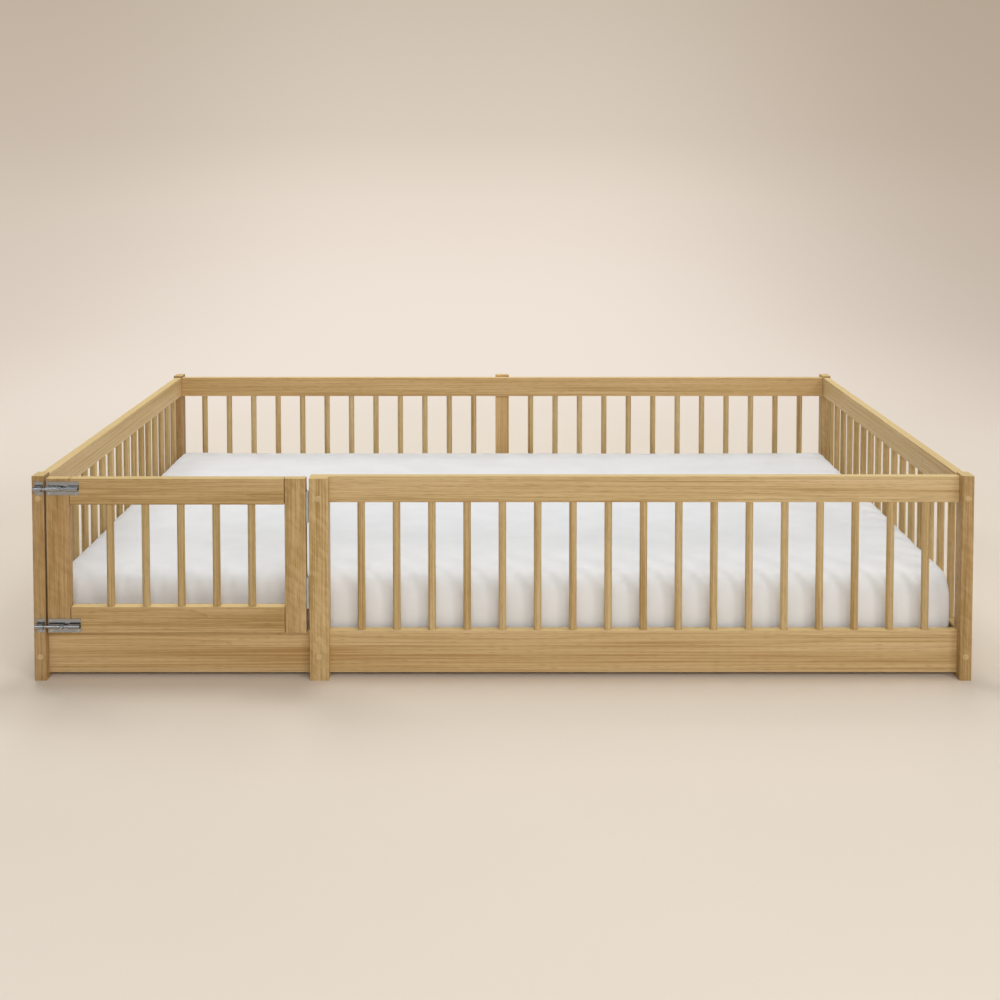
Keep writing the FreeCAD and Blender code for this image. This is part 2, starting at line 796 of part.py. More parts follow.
def cushion(outset):
    """The mattress's shape, grown by outset: rolled edges, sides drawn in, a slight crown."""
    height = sizes.mattress_height
    shoulder = height - sizes.crown - sizes.top_roll
    levels = []
    for turn in (0, 30, 60, 90):
        angle = math.radians(turn)
        levels.append((sizes.low_roll * (1 - math.cos(angle)), sizes.low_roll * (1 - math.sin(angle))))
    levels.append(((sizes.low_roll + shoulder) / 2, 0))
    for turn in range(0, 91, 15):
        angle = math.radians(turn)
        rise = shoulder + sizes.top_roll * math.sin(angle)
        levels.append((rise, sizes.top_roll * (1 - math.cos(angle))))
    reach = sizes.mattress_width / 2 - sizes.top_roll - sizes.corner_roll
    for share in (0.15, 0.4, 0.7, 0.95):
        rise = height - sizes.crown * (1 - share) ** 2
        levels.append((rise, sizes.top_roll + share * reach))
    wires = []
    for rise, inset in levels:
        waist = sizes.draw_in * (2 * rise / height - 1) ** 2
        pulled_in = inset + waist - outset
        half_length = sizes.mattress_length / 2 - pulled_in
        half_width = sizes.mattress_width / 2 - pulled_in
        radius = min(sizes.corner_roll + inset / 2, 0.9 * half_width)
        wires.append(rounded_outline(half_length, half_width, radius, rise * (1 + outset / height)))
    return Part.makeLoft(wires, True, True)


def soft_piece(label, shape):
    piece = doc.addObject("Part::Feature", label)
    piece.Shape = shape
    place(piece, ("0", "Places.middle_y", "Places.mattress_z"))
    keep(piece, label)


soft_piece("mattress", cushion(0))
soft_piece("fitted_sheet", cushion(sizes.sheet_thickness).cut(cushion(0)))

# --------------------------------------------------------------------------------- the gate
latch_stile = upright(
    "gate_latch_stile",
    "Places.gate_left + Sizes.latch_stile_width / 2",
    "Places.gate_y",
    "Sizes.latch_stile_width",
    "Sizes.gate_thickness",
    "Places.gate_height",
    z="Places.gate_z",
)
hinge_stile = upright(
    "gate_hinge_stile",
    "Places.gate_right - Sizes.hinge_stile_width / 2",
    "Places.gate_y",
    "Sizes.hinge_stile_width",
    "Sizes.gate_thickness",
    "Places.gate_height",
    z="Places.gate_z",
)
gate_rails = {}
for level, z, way, edge in (
    ("top", "Places.gate_top_rail_z", "+z", "Places.gate_top_rail_z"),
    ("bottom", "Places.gate_z", "-z", "Places.gate_bottom_rail_top"),
):
    piece = Piece(
        f"gate_{level}_rail",
        ("Places.gate_rail_x", "Places.gate_y", z),
        "Sizes.gate_rail_height",
        width="Places.gate_rail_length - 2 * Sizes.gate_seam",
        depth="Sizes.gate_thickness",
    )
    piece.ease(ALL_WAYS)
    first = ("Places.gate_first_x", "Places.gate_y", edge)
    sockets(piece, way, first, "Places.gate_pitch", "Sizes.gate_spindle_count", "X_Axis")
    gate_rails[level] = piece

for number in range(int(sizes.gate_spindle_count)):
    Piece(
        f"gate_spindle_{number + 1}",
        (f"Places.gate_first_x + {number} * Places.gate_pitch", "Places.gate_y", "Places.gate_spindle_z"),
        "Places.gate_spindle_top - Places.gate_spindle_z",
        diameter="Sizes.spindle_diameter",
    )

# two dowels at each corner of the gate, half in the stile and half in the rail
dowels = []
HALF_DOWEL = "Sizes.dowel_length / 2"
for level, rail_z in (("top", "Places.gate_top_rail_z"), ("bottom", "Places.gate_z")):
    for side in ("+", "-"):
        z = f"{rail_z} + Sizes.gate_rail_height / 2 {side} Sizes.dowel_spacing / 2"
        for seam, stile, into_stile, into_rail in (
            ("Places.gate_rail_left", latch_stile, "-x", "+x"),
            ("Places.gate_rail_right", hinge_stile, "+x", "-x"),
        ):
            at = (seam, "Places.gate_y", z)
            stile.cut(into_stile, at, HALF_DOWEL, diameter="Sizes.dowel_diameter")
            gate_rails[level].cut(into_rail, at, HALF_DOWEL, diameter="Sizes.dowel_diameter")
            start = (f"{seam} - {HALF_DOWEL}", "Places.gate_y", z)
            dowels.append(round_bar(start, "+x", "Sizes.dowel_diameter", "Sizes.dowel_length"))
keep(group(dowels), "gate_dowels")

# ------------------------------------------------------------------------------- the hinges
post_hinge_screws = []
gate_hinge_screws = []
KNUCKLE_ROOM = "(Sizes.knuckle_count - 1) * Sizes.knuckle_gap"
KNUCKLE_HEIGHT = f"((Sizes.hinge_height - {KNUCKLE_ROOM}) / Sizes.knuckle_count)"


def hinge_leaf(label, low_z, to_post, bore):
    """A leaf flat against the wood, with its share of the knuckles round the pin."""
    thick = "Sizes.hinge_leaf_thickness"
    if to_post:
        leaf_x = f"Places.gate_post_left - {thick}"
    else:
        leaf_x = "Places.gate_right"
    axis_y = "Places.front_y"
    solids = [
        box(
            (leaf_x, f"{axis_y} + Places.leaf_start", low_z),
            (thick, "Sizes.hinge_leaf_depth", "Sizes.hinge_height"),
        )
    ]
    for number in range(0 if to_post else 1, int(sizes.knuckle_count), 2):
        z = f"{low_z} + {number} * ({KNUCKLE_HEIGHT} + Sizes.knuckle_gap)"
        solids.append(
            round_bar(("Places.hinge_x", axis_y, z), "+z", "Sizes.knuckle_diameter", KNUCKLE_HEIGHT)
        )
        solids.append(box((leaf_x, axis_y, z), (thick, "Places.leaf_start", KNUCKLE_HEIGHT)))
    bores = [round_bar(("Places.hinge_x", axis_y, low_z), "+z", bore, "Sizes.hinge_height")]
    way = "+x" if to_post else "-x"
    surface_x = leaf_x if to_post else f"{leaf_x} + {thick}"
    wood_x = "Places.gate_post_left" if to_post else "Places.gate_right"
    for row in (-1, 0, 1):
        z = f"{low_z} + Sizes.hinge_height / 2 + {row} * Sizes.hinge_screw_pitch"
        at = (surface_x, f"{axis_y} + Places.leaf_middle", z)
        form = (way, "Sizes.hinge_screw_head", "Sizes.hinge_screw_diameter", thick)
        bores.append(cone(at, *form))
        screws = post_hinge_screws if to_post else gate_hinge_screws
        screws.append(flush_screw(at, *form, "Sizes.hinge_screw_length"))
        wood = gate_post if to_post else hinge_stile
        wood.cut(
            way,
            (wood_x, at[1], z),
            "Sizes.hinge_screw_length",
            diameter="Sizes.hinge_screw_diameter",
        )
    keep(cut_away(fuse(solids), bores), label)


for level in ("upper", "lower"):
    low_z = f"Places.{level}_hinge_z"
    wide_bore = "Sizes.hinge_pin_diameter + 2 * Sizes.hinge_pin_play"
    hinge_leaf(f"{level}_hinge_post_leaf", low_z, True, "Sizes.hinge_pin_diameter")
    hinge_leaf(f"{level}_hinge_gate_leaf", low_z, False, wide_bore)
    axis = ("Places.hinge_x", "Places.front_y")
    pin = fuse(
        [
            round_bar((*axis, low_z), "+z", "Sizes.hinge_pin_diameter", "Sizes.hinge_height"),
            round_bar(
                (*axis, f"{low_z} + Sizes.hinge_height"),
                "+z",
                "Sizes.pin_head_diameter",
                "Sizes.pin_head_height",
            ),
            round_bar(
                (*axis, f"{low_z} - Sizes.pin_head_height"),
                "+z",
                "Sizes.pin_head_diameter",
                "Sizes.pin_head_height",
            ),
        ]
    )
    keep(pin, f"{level}_hinge_pin")

keep(group(post_hinge_screws), "hinge_screws_post")
keep(group(gate_hinge_screws), "hinge_screws_gate")

# -------------------------------------------------------------------------- the barrel bolts
gate_bolt_screws = []
post_bolt_screws = []
PLATE = "Sizes.bolt_plate_thickness"
PLATE_FRONT = f"Places.front_y - {PLATE}"
SCREW_FORM = ("+y", "Sizes.plate_screw_head", "Sizes.plate_screw_diameter", PLATE)


def plate_screws(z, columns, screws):
    """Countersunk screws above and below the rod; gives the seats to cut in the plate."""
    seats = []
    for x, wood in columns:
        for side in ("+", "-"):
            at_z = f"{z} {side} Sizes.plate_screw_spread / 2"
            seats.append(cone((x, PLATE_FRONT, at_z), *SCREW_FORM))
            screws.append(flush_screw((x, PLATE_FRONT, at_z), *SCREW_FORM, "Sizes.plate_screw_length"))
            wood.cut(
                "+y",
                (x, "Places.front_y", at_z),
                "Sizes.plate_screw_length",
                diameter="Sizes.plate_screw_diameter",
            )
    return seats


def plate(left_x, width, z):
    """A flat plate on the wood's front, level with the rod."""
    low_z = f"{z} - Sizes.bolt_plate_height / 2"
    return box((left_x, PLATE_FRONT, low_z), (width, PLATE, "Sizes.bolt_plate_height"))


def tube_on_foot(left_x, length, z, diameter, foot_width):
    """A tube round the rod, joined to the plate behind it by a foot."""
    tube = round_bar((left_x, "Places.bolt_y", z), "+x", diameter, length)
    foot_corner = (left_x, "Places.bolt_y", f"{z} - {foot_width} / 2")
    foot = box(foot_corner, (length, f"{PLATE_FRONT} - Places.bolt_y", foot_width))
    return fuse([tube, foot])


def barrel_bolt(level, gate_rail):
    z = f"Places.{level}_bolt_z"
    columns = (("Places.near_screw_x", latch_stile), ("Places.far_screw_x", gate_rail))
    seats = plate_screws(z, columns, gate_bolt_screws)
    backing = plate("Places.bolt_plate_left", "Sizes.bolt_plate_length", z)
    keep(cut_away(backing, seats), f"{level}_bolt_plate")

    sleeves = []
    for left_x, length in (
        ("Places.latch_sleeve_left", "Sizes.latch_sleeve_length"),
        ("Places.far_sleeve_x", "Sizes.far_sleeve_length"),
    ):
        solid = tube_on_foot(left_x, length, z, "Sizes.barrel_diameter", "Sizes.barrel_foot_width")
        hollow = round_bar((left_x, "Places.bolt_y", z), "+x", "Places.bolt_bore", length)
        sleeves.append(cut_away(solid, [hollow]))
    keep(group(sleeves), f"{level}_bolt_barrel")

    bar = round_bar(("Places.rod_tip", "Places.bolt_y", z), "+x", "Sizes.rod_diameter", "Sizes.rod_length")
    doc.recompute()
    rod = doc.addObject("Part::Chamfer", f"{level}_rod_ends")
    rod.Base = bar
    rims = [number for number, edge in enumerate(bar.Shape.Edges, start=1) if edge.isClosed()]
    rod.Edges = [(number, sizes.rod_chamfer, sizes.rod_chamfer) for number in rims]
    keep(rod, f"{level}_bolt_rod")

    collar_x = "Places.knob_x - Sizes.knob_collar_width / 2"
    collar = round_bar(
        (collar_x, "Places.bolt_y", z), "+x", "Sizes.knob_collar_diameter", "Sizes.knob_collar_width"
    )
    stem_bar = round_bar(
        ("Places.knob_x", "Places.bolt_y", z), "-y", "Sizes.knob_stem_diameter", "Sizes.knob_reach"
    )
    doc.recompute()
    stem = doc.addObject("Part::Fillet", f"{level}_knob_end")
    stem.Base = stem_bar
    tip_y = stem_bar.Shape.BoundBox.YMin
    tips = [
        number
        for number, edge in enumerate(stem_bar.Shape.Edges, start=1)
        if edge.BoundBox.YMax < tip_y + 0.001
    ]
    stem.Edges = [(number, sizes.knob_stem_rounding, sizes.knob_stem_rounding) for number in tips]
    hollow = round_bar(
        (collar_x, "Places.bolt_y", z),
        "+x",
        "Sizes.rod_diameter + 2 * Sizes.knob_play",
        "Sizes.knob_collar_width",
    )
    keep(cut_away(fuse([collar, stem]), [hollow]), f"{level}_bolt_knob")

    keeper_left = "Places.keeper_right - Sizes.keeper_length"
    tube = tube_on_foot(
        keeper_left, "Sizes.keeper_length", z, "Sizes.keeper_diameter", "Sizes.keeper_foot_width"
    )
    backing = plate(
        "Places.keeper_plate_x - Sizes.keeper_plate_width / 2", "Sizes.keeper_plate_width", z
    )
    hollow = round_bar((keeper_left, "Places.bolt_y", z), "+x", "Places.bolt_bore", "Sizes.keeper_length")
    seats = plate_screws(z, (("Places.keeper_plate_x", posts["front", "left"]),), post_bolt_screws)
    keep(cut_away(fuse([tube, backing]), [hollow] + seats), f"{level}_bolt_keeper")


barrel_bolt("upper", gate_rails["top"])
barrel_bolt("lower", gate_rails["bottom"])

keep(group(gate_bolt_screws), "bolt_screws_gate")
keep(group(post_bolt_screws), "bolt_screws_post")
keep(group(long_screws), "long_frame_screws")
keep(group(short_screws), "short_frame_screws")
keep(group(plugs), "screw_plugs")

# ------------------------------------------------------------------------ check and write
doc.recompute()
for item in doc.Objects:
    if "Invalid" in item.State or "Error" in item.State:
        raise RuntimeError(f"{item.Name} ({item.Label}) is {item.State}")
for pocket in pockets:
    if pocket.Shape.Volume >= pocket.BaseFeature.Shape.Volume:
        raise RuntimeError(f"{pocket.Name} removed nothing")
for piece in nodes:
    if piece.Shape.isNull() or not piece.Shape.isValid() or not piece.Shape.Solids:
        raise RuntimeError(f"{piece.Label} has no valid solid")

os.makedirs("parts", exist_ok=True)
for piece in nodes:
    piece.Shape.exportStep(f"parts/{piece.Label}.step")
print(f"{len(nodes)} nodes, {sum(len(piece.Shape.Solids) for piece in nodes)} solids")
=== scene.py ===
# %% [markdown]
# # A toddler floor bed, dressed and lit in Blender
#
# The bed's wooden frame, gate, hinges and bolts come ready made from the CAD model, in metres and in
# their places. This lesson gives each of them its real finish, makes the mattress and its fitted sheet
# as soft goods, and sets up a small photo studio round the bed.

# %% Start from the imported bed
import math

import bmesh
import bpy
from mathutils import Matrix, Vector, noise


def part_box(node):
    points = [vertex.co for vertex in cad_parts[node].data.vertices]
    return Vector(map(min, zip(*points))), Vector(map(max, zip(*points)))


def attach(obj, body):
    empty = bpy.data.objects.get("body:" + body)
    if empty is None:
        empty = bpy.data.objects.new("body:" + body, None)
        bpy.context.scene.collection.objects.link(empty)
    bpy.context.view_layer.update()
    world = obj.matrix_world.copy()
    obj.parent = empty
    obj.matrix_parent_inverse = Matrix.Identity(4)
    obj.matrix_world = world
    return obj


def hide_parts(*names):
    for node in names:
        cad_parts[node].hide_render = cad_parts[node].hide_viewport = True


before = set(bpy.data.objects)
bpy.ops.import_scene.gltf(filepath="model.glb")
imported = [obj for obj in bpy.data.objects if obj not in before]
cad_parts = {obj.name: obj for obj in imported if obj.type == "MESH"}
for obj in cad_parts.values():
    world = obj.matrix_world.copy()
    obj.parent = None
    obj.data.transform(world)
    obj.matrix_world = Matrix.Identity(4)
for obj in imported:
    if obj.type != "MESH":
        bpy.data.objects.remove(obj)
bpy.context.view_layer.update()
MM = 0.001


def rounded(corners):
    """Corners in metres, rounded to a tenth of a millimetre to be printed."""
    return [tuple(round(v, 4) for v in corner) for corner in corners]


# %% [markdown]
# ## The camera
#
# The photograph was taken from well above the rails with the camera held level and its lens shifted
# down, so the posts stay upright in the picture. Its place and lens were solved from the bed's own
# corners. It looks down by less than three degrees here, which keeps the shift small enough for views
# from other sides.

# %% Place the camera
CAMERA_AT = (-0.0064, -3.4784, 1.1163)
CAMERA_LOOKS_DOWN = 2.8
LENS_MM = 49.72
LENS_SHIFT = -0.2856
SENSOR_MM = 36
SEES_AS_FAR_AS = 60  # metres

camera_data = bpy.data.cameras.new("camera")
camera_data.lens = LENS_MM
camera_data.sensor_width = SENSOR_MM
camera_data.shift_y = LENS_SHIFT
camera_data.clip_end = SEES_AS_FAR_AS
camera = bpy.data.objects.new("camera", camera_data)
camera.location = CAMERA_AT
camera.rotation_euler = (math.radians(90 - CAMERA_LOOKS_DOWN), 0, 0)
bpy.context.scene.collection.objects.link(camera)
bpy.context.scene.camera = camera
print("camera", camera_data.lens, "mm, shift", camera_data.shift_y)

# %% [markdown]
# ## Helpers for modelling by hand
#
# Blender's operators act on whatever is selected, and the loaded bed arrives selected. Each new shape
# therefore starts from an empty selection. Its parts are then picked by their place, as one would click
# them in the window.


# %% Pick and finish a shape
def alone(piece):
    """Leave only this object selected and active."""
    bpy.ops.object.select_all(action="DESELECT")
    piece.select_set(True)
    bpy.context.view_layer.objects.active = piece


def begin(name):
    """Name the primitive that was just added, put its place into its mesh and start to edit it."""
    piece = bpy.context.active_object
    piece.name = piece.data.name = name
    bpy.ops.object.transform_apply(location=True, rotation=True, scale=True)
    bpy.ops.object.mode_set(mode="EDIT")
    bpy.ops.mesh.select_all(action="DESELECT")
    return piece


def pick(kind, wanted):
    """Select the edges or faces of the edited mesh for which wanted(element) is true."""
    bpy.ops.mesh.select_mode(type={"edges": "EDGE", "faces": "FACE"}[kind])
    bpy.ops.mesh.select_all(action="DESELECT")
    mesh = bmesh.from_edit_mesh(bpy.context.active_object.data)
    picked = [element for element in getattr(mesh, kind) if wanted(element)]
    for element in picked:
        element.select_set(True)
    bmesh.update_edit_mesh(bpy.context.active_object.data)
    return len(picked)


def smoothstep(low, high, value):
    """0 at low, 1 at high, with a soft slope between, also where low is the larger of the two."""
    share = min(max((value - low) / (high - low), 0), 1)
    return share * share * (3 - 2 * share)


# %% [markdown]
# ## The mattress
#
# A bed mattress is a foam block in a woven cover. Foam under a cover is never a box: the edges roll
# over, the corners are round and the top stands a little proud in the middle. In the photograph the
# front edge, where people sit down, has rolled over most. So the block is a cube whose front edge gets
# a wide bevel and its other edges narrower ones, and the outline of each end is bevelled last, which
# carries the rounding round the corners. It starts a little smaller, because the next step swells it.

# %% Block out the foam
mattress_low, mattress_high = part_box("mattress")
START_SMALLER = Vector((2.5, 2.5, 2.2)) * MM
FRONT_ROLL = 46 * MM
BACK_ROLL = 20 * MM
LOW_ROLL = 16 * MM
END_ROLL = 9 * MM

low, high = mattress_low + START_SMALLER, mattress_high - START_SMALLER
bpy.ops.object.select_all(action="DESELECT")
bpy.ops.mesh.primitive_cube_add(size=1, location=(low + high) / 2, scale=high - low)
mattress = begin("mattress_cover")


def lies_along_x(edge, y, z):
    """Whether an edge of the block runs along the bed at that depth and height."""
    return all(abs(v.co.y - y) < MM and abs(v.co.z - z) < MM for v in edge.verts)


for y, z, roll, steps in ((low.y, high.z, FRONT_ROLL, 7), (high.y, high.z, BACK_ROLL, 4),
                          (low.y, low.z, LOW_ROLL, 3), (high.y, low.z, LOW_ROLL, 3)):
    pick("edges", lambda e: lies_along_x(e, y, z))
    bpy.ops.mesh.bevel(offset=roll, segments=steps)
ends = pick("edges", lambda e: all(abs(abs(v.co.x) - high.x) < MM for v in e.verts))
bpy.ops.mesh.bevel(offset=END_ROLL, segments=4)
bpy.ops.object.mode_set(mode="OBJECT")
print("mattress block", len(mattress.data.polygons), "faces,", ends, "edges round its two ends")

# %% [markdown]
# ## Letting the foam swell
#
# A cover filled with foam pushes outwards, most in the middle of each side and least at the seams.
# Blender's cloth does this by pressure. The block is first remeshed into even squares, because cloth
# needs them, and its underside is pinned to the slats. The simulation runs for 20 frames. Cloth hardly
# stretches, so where the top domes the sides draw in. Real foam holds them out, so only the outward
# part of each point's movement is kept, and it is eased off towards a cap, inside the rails.

# %% Remesh the foam for the simulation
SQUARE = 18 * MM
ON_THE_SLATS = 3 * MM  # points no higher than this above the underside rest on the slats
alone(mattress)
remesh = mattress.modifiers.new("even squares", "REMESH")
remesh.mode, remesh.voxel_size = "VOXEL", SQUARE
bpy.ops.object.modifier_apply(modifier=remesh.name)
under = mattress.vertex_groups.new(name="on the slats")
under.add([v.index for v in mattress.data.vertices if v.co.z < low.z + ON_THE_SLATS], 1, "REPLACE")
before_swelling = [(v.co.copy(), v.normal.copy()) for v in mattress.data.vertices]
print("mattress squares", len(mattress.data.polygons))

# %% Inflate it
PRESSURE = 4
COVER_STIFFNESS = 40
SWELL_CAP = 1.8 * MM
LAST_FRAME = 20

scene = bpy.context.scene
swell = mattress.modifiers.new("foam pressure", "CLOTH")
swell.settings.vertex_group_mass = under.name
swell.settings.use_pressure = True
swell.settings.uniform_pressure_force = PRESSURE
swell.settings.tension_stiffness = swell.settings.compression_stiffness = COVER_STIFFNESS
swell.settings.effector_weights.gravity = 0
swell.point_cache.frame_start, swell.point_cache.frame_end = 1, LAST_FRAME
for step in range(1, LAST_FRAME + 1):
    scene.frame_set(step)
bpy.ops.object.modifier_apply(modifier=swell.name)
scene.frame_set(1)

moved = 0
for vertex, (start, outwards) in zip(mattress.data.vertices, before_swelling):
    swelling = max((vertex.co - start).dot(outwards), 0)
    swelling *= SWELL_CAP / (SWELL_CAP + swelling)
    moved = max(moved, swelling)
    vertex.co = start + outwards * swelling
mattress.vertex_groups.clear()
print("mattress swelled by at most", round(moved / MM, 2), "mm")

# %% Relax the squares
bpy.ops.object.mode_set(mode="EDIT")
bpy.ops.mesh.select_all(action="SELECT")
bpy.ops.mesh.vertices_smooth(factor=0.5, repeat=1)
bpy.ops.object.mode_set(mode="OBJECT")
bpy.ops.object.shade_smooth()


def reach(piece):
    """The lowest and highest corner of a mesh."""
    points = [v.co for v in piece.data.vertices]
    return [Vector(fold(point[axis] for point in points) for axis in range(3)) for fold in (min, max)]


print("mattress from", *rounded(reach(mattress)))

# %% Fit it between the rails again
UNDER_SHEET = 1.4 * MM
END_PRESS = 4.5 * MM  # the foam's ends press outwards until they all but touch the end rails
FRONT_SLACK = 6 * MM  # and its front edge, pressed down by use, draws back from the spindles
now_low, now_high = reach(mattress)
wanted_low = mattress_low + Vector((-END_PRESS, FRONT_SLACK, UNDER_SHEET))
wanted_high = mattress_high - Vector((-END_PRESS, 0, UNDER_SHEET))
for vertex in mattress.data.vertices:
    for axis in range(3):
        share = (vertex.co[axis] - now_low[axis]) / (now_high[axis] - now_low[axis])
        vertex.co[axis] = wanted_low[axis] + share * (wanted_high[axis] - wanted_low[axis])
print("mattress from", *rounded(reach(mattress)))

# %% [markdown]
# ## The fitted sheet
#
# A fitted sheet is one rectangle of cotton with its four corners sewn into pockets and elastic in the
# hem, which holds it under the mattress. It has to follow the swollen foam everywhere, so it is made
# from a copy of it. The copy is pushed outwards by the cloth's thickness, and the middle of its
# underside is cut away, so that only the band under the edge is left, as on the real sheet.

# %% Take the sheet's shape from the foam
SHEET_OFF_FOAM = 0.7 * MM
HEM_UNDER = 85 * MM
FACES_DOWN = -0.9  # the height of a normal below which its face belongs to the underside

alone(mattress)
bpy.ops.object.duplicate(linked=False)
sheet = bpy.context.active_object
sheet.name = sheet.data.name = "cotton_fitted_sheet"
middle_y = (mattress_low.y + mattress_high.y) / 2
bpy.ops.object.mode_set(mode="EDIT")


def is_under_middle(face):
    """Whether a face belongs to the underside and lies inside the band that the hem covers."""
    centre = face.calc_center_median()
    return (
        face.normal.z < FACES_DOWN
        and abs(centre.x) < mattress_high.x - HEM_UNDER
        and abs(centre.y - middle_y) < mattress_high.y - middle_y - HEM_UNDER
    )


print("faces cut from under the sheet", pick("faces", is_under_middle))
bpy.ops.mesh.delete(type="FACE")
bpy.ops.mesh.select_all(action="SELECT")
bpy.ops.transform.shrink_fatten(value=SHEET_OFF_FOAM)
bpy.ops.mesh.subdivide(number_cuts=1, smoothness=1)
bpy.ops.object.mode_set(mode="OBJECT")
print("sheet", len(sheet.data.polygons), "faces")

# %% [markdown]
# ## Pull lines and gathers
#
# Cotton is woven, so it creases where it is pulled: short lines run in from both ends of the bed, where
# the elastic draws the cloth down, softer ones run down the sides, and the corners gather. Each is a
# stretched noise that moves the cloth outwards along its normal by a millimetre or two. Moving the
# points in code keeps every line where the photograph has it, which a full drape would not.

# %% Crease the sheet
END_LINES = 3.4 * MM
SIDE_LINES = 1.2 * MM
WIDE_WAVES = 1.2 * MM
HEM_GATHERS = 0.8 * MM
LINES_START, LINES_FULL = 0.24, 0.04  # metres from the end of the bed
OVER_THE_SLATS = 0.1 * MM             # the hem stays this far above the slats
ABOVE_THE_SOLID = 2 * MM              # and the creases no more than this above the solid sheet


def ripple(x, y, z):
    """A soft noise from 0 to 1."""
    return 0.5 + 0.5 * noise.noise(Vector((x, y, z)))


def creases(at, normal):
    """How far the cloth stands out at a point, in metres."""
    # which side of the mattress the point is on, by the way its normal looks
    top = smoothstep(0.35, 0.9, normal.z)
    side = 1 - smoothstep(0.3, 0.8, abs(normal.z))
    under = smoothstep(-0.5, -0.9, normal.z)
    # lines that run in from the ends, some 40 mm apart, bending a little and not all as deep
    from_end = mattress_high.x - abs(at.x)
    bend = 0.25 * noise.noise(Vector((at.x * 7, at.y * 5, 4)))
    line = 1 - abs(noise.noise(Vector((at.x * 3, (at.y + bend * 0.1) * 24, 1)))) * 3.0
    near_end = smoothstep(LINES_START, LINES_FULL, from_end) * ripple(at.y * 4, 7, 2) * 1.3
    # softer lines down the sides, some 140 mm apart, with finer ones some 55 mm apart among them
    along = at.x if abs(normal.y) > abs(normal.x) else at.y
    down = 0.7 * ripple(along * 7, at.z * 4, 3) + 0.3 * ripple(along * 18, at.z * 8, 5)
    # and on top waves half a metre wide, under it gathers some 17 mm wide
    return (
        top * (END_LINES * near_end * max(line, 0) + WIDE_WAVES * ripple(at.x * 1.8, at.y * 2.4, 9))
        + side * SIDE_LINES * down
        + under * HEM_GATHERS * ripple(at.x * 60, at.y * 60, 6)
    )


sheet_low, sheet_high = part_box("fitted_sheet")
normals = [v.normal.copy() for v in sheet.data.vertices]
for vertex, normal in zip(sheet.data.vertices, normals):
    vertex.co += normal * creases(vertex.co, normal)
    vertex.co.z = min(max(vertex.co.z, sheet_low.z + OVER_THE_SLATS), sheet_high.z + ABOVE_THE_SOLID)
print("sheet top", round(max(v.co.z for v in sheet.data.vertices), 4), "CAD", round(sheet_high.z, 4))

# %% Give the cotton its thickness
COTTON_THICKNESS = 0.6 * MM
alone(sheet)
wall = sheet.modifiers.new("cotton", "SOLIDIFY")
wall.thickness, wall.offset = COTTON_THICKNESS, 1
bpy.ops.object.modifier_apply(modifier=wall.name)
bpy.ops.object.shade_smooth()
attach(sheet, "frame")
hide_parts("fitted_sheet")
print("sheet", 2 * len(sheet.data.polygons), "triangles, from", *rounded(reach(sheet)))

# %% Finish the foam's cover
alone(mattress)
finer = mattress.modifiers.new("rounder", "SUBSURF")
finer.levels = finer.render_levels = 1
bpy.ops.object.modifier_apply(modifier=finer.name)
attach(mattress, "frame")
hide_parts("mattress")
print("mattress", len(mattress.data.polygons), "faces")

# %% [markdown]
# ## Materials
#
# Every finish is a small network of nodes. Two helpers keep the networks short: one turns a colour as
# it is written on screen into the linear light that Blender works in, and one adds any node with its
# settings and its links.


# %% Colour and node helpers
def linear(hex_colour):
    """An sRGB colour such as #BDA073 as linear red, green, blue and alpha."""
    parts = [int(hex_colour[i : i + 2], 16) / 255 for i in (1, 3, 5)]
    return (*(p / 12.92 if p <= 0.04045 else ((p + 0.055) / 1.055) ** 2.4 for p in parts), 1)


def new_material(name):
    """An empty material and its node tree."""
    material = bpy.data.materials.new(name)
    material.use_nodes = True
    material.node_tree.nodes.clear()
    return material, material.node_tree


def add(tree, kind, into=None, stops=None, **settings):
    """Add a node with its settings.

    into gives its inputs a value or the socket that feeds them, and stops fill a colour ramp.
    """
    node = tree.nodes.new(f"ShaderNode{kind}")
    for setting, value in settings.items():
        setattr(node, setting, value)
    for socket, value in (into or {}).items():
        if isinstance(value, bpy.types.NodeSocket):
            tree.links.new(value, node.inputs[socket])
        else:
            node.inputs[socket].default_value = value
    if stops:
        elements = node.color_ramp.elements
        while len(elements) < len(stops):
            elements.new(0.5)
        for element, (position, colour) in zip(elements, stops):
            element.position, element.color = position, linear(colour)
    return node


MIX_A, MIX_B, MIXED = 6, 7, 2  # the colour sockets of a Mix node, which share their names with others

# %% [markdown]
# ## Oak
#
# The frame is light oak under a satin clear lacquer. Wood is the same pattern all through: a tree's
# rings run round its pith, and a board is a slice of them. So the pattern is drawn in space and not on
# the surface, with rings round a line that lies beside each board. Its long faces then show lines and
# cathedrals, and its ends show arcs. Under the rings lie broad bands, streaks and fibres, and over them
# the short dark pores that make oak look like oak.
# Faces that look up are then made paler, a painted highlight for the light that falls on them from
# above.

# %% Oak, board by board
RING = 5.4 * MM  # from one late-wood line to the next
WAVE_RING = 2 * math.pi / 20  # a Wave texture of scale 1 draws a ring every 0.314 m
PAINTED_TOP_HIGHLIGHT = "#F5D898"  # painted highlight: faces that look up are made paler, standing in for the light that falls on them from above
TOP_HIGHLIGHT_SHARE = 0.62  # how much of that painted highlight a level face takes
LOOKS_UP = (0.60, 0.95)  # the height of a normal at which a face starts to look up, and fully does
LACQUER_SMOOTH, LACQUER_ROUGH = 0.34, 0.50
LACQUER_SHINE = 0.06  # a thin satin lacquer hardly mirrors anything
FIBRE_DEPTH = 0.2 * MM
CELL_JUMP = (0.11, 0.11, 0.9)  # metres: as far as the pattern may jump from one part to the next
GRAIN_TURNS = {
    "X": (0, 0, 0),
    "Y": (0, 0, -math.pi / 2),
    "Z": (0, math.pi / 2, 0),
}


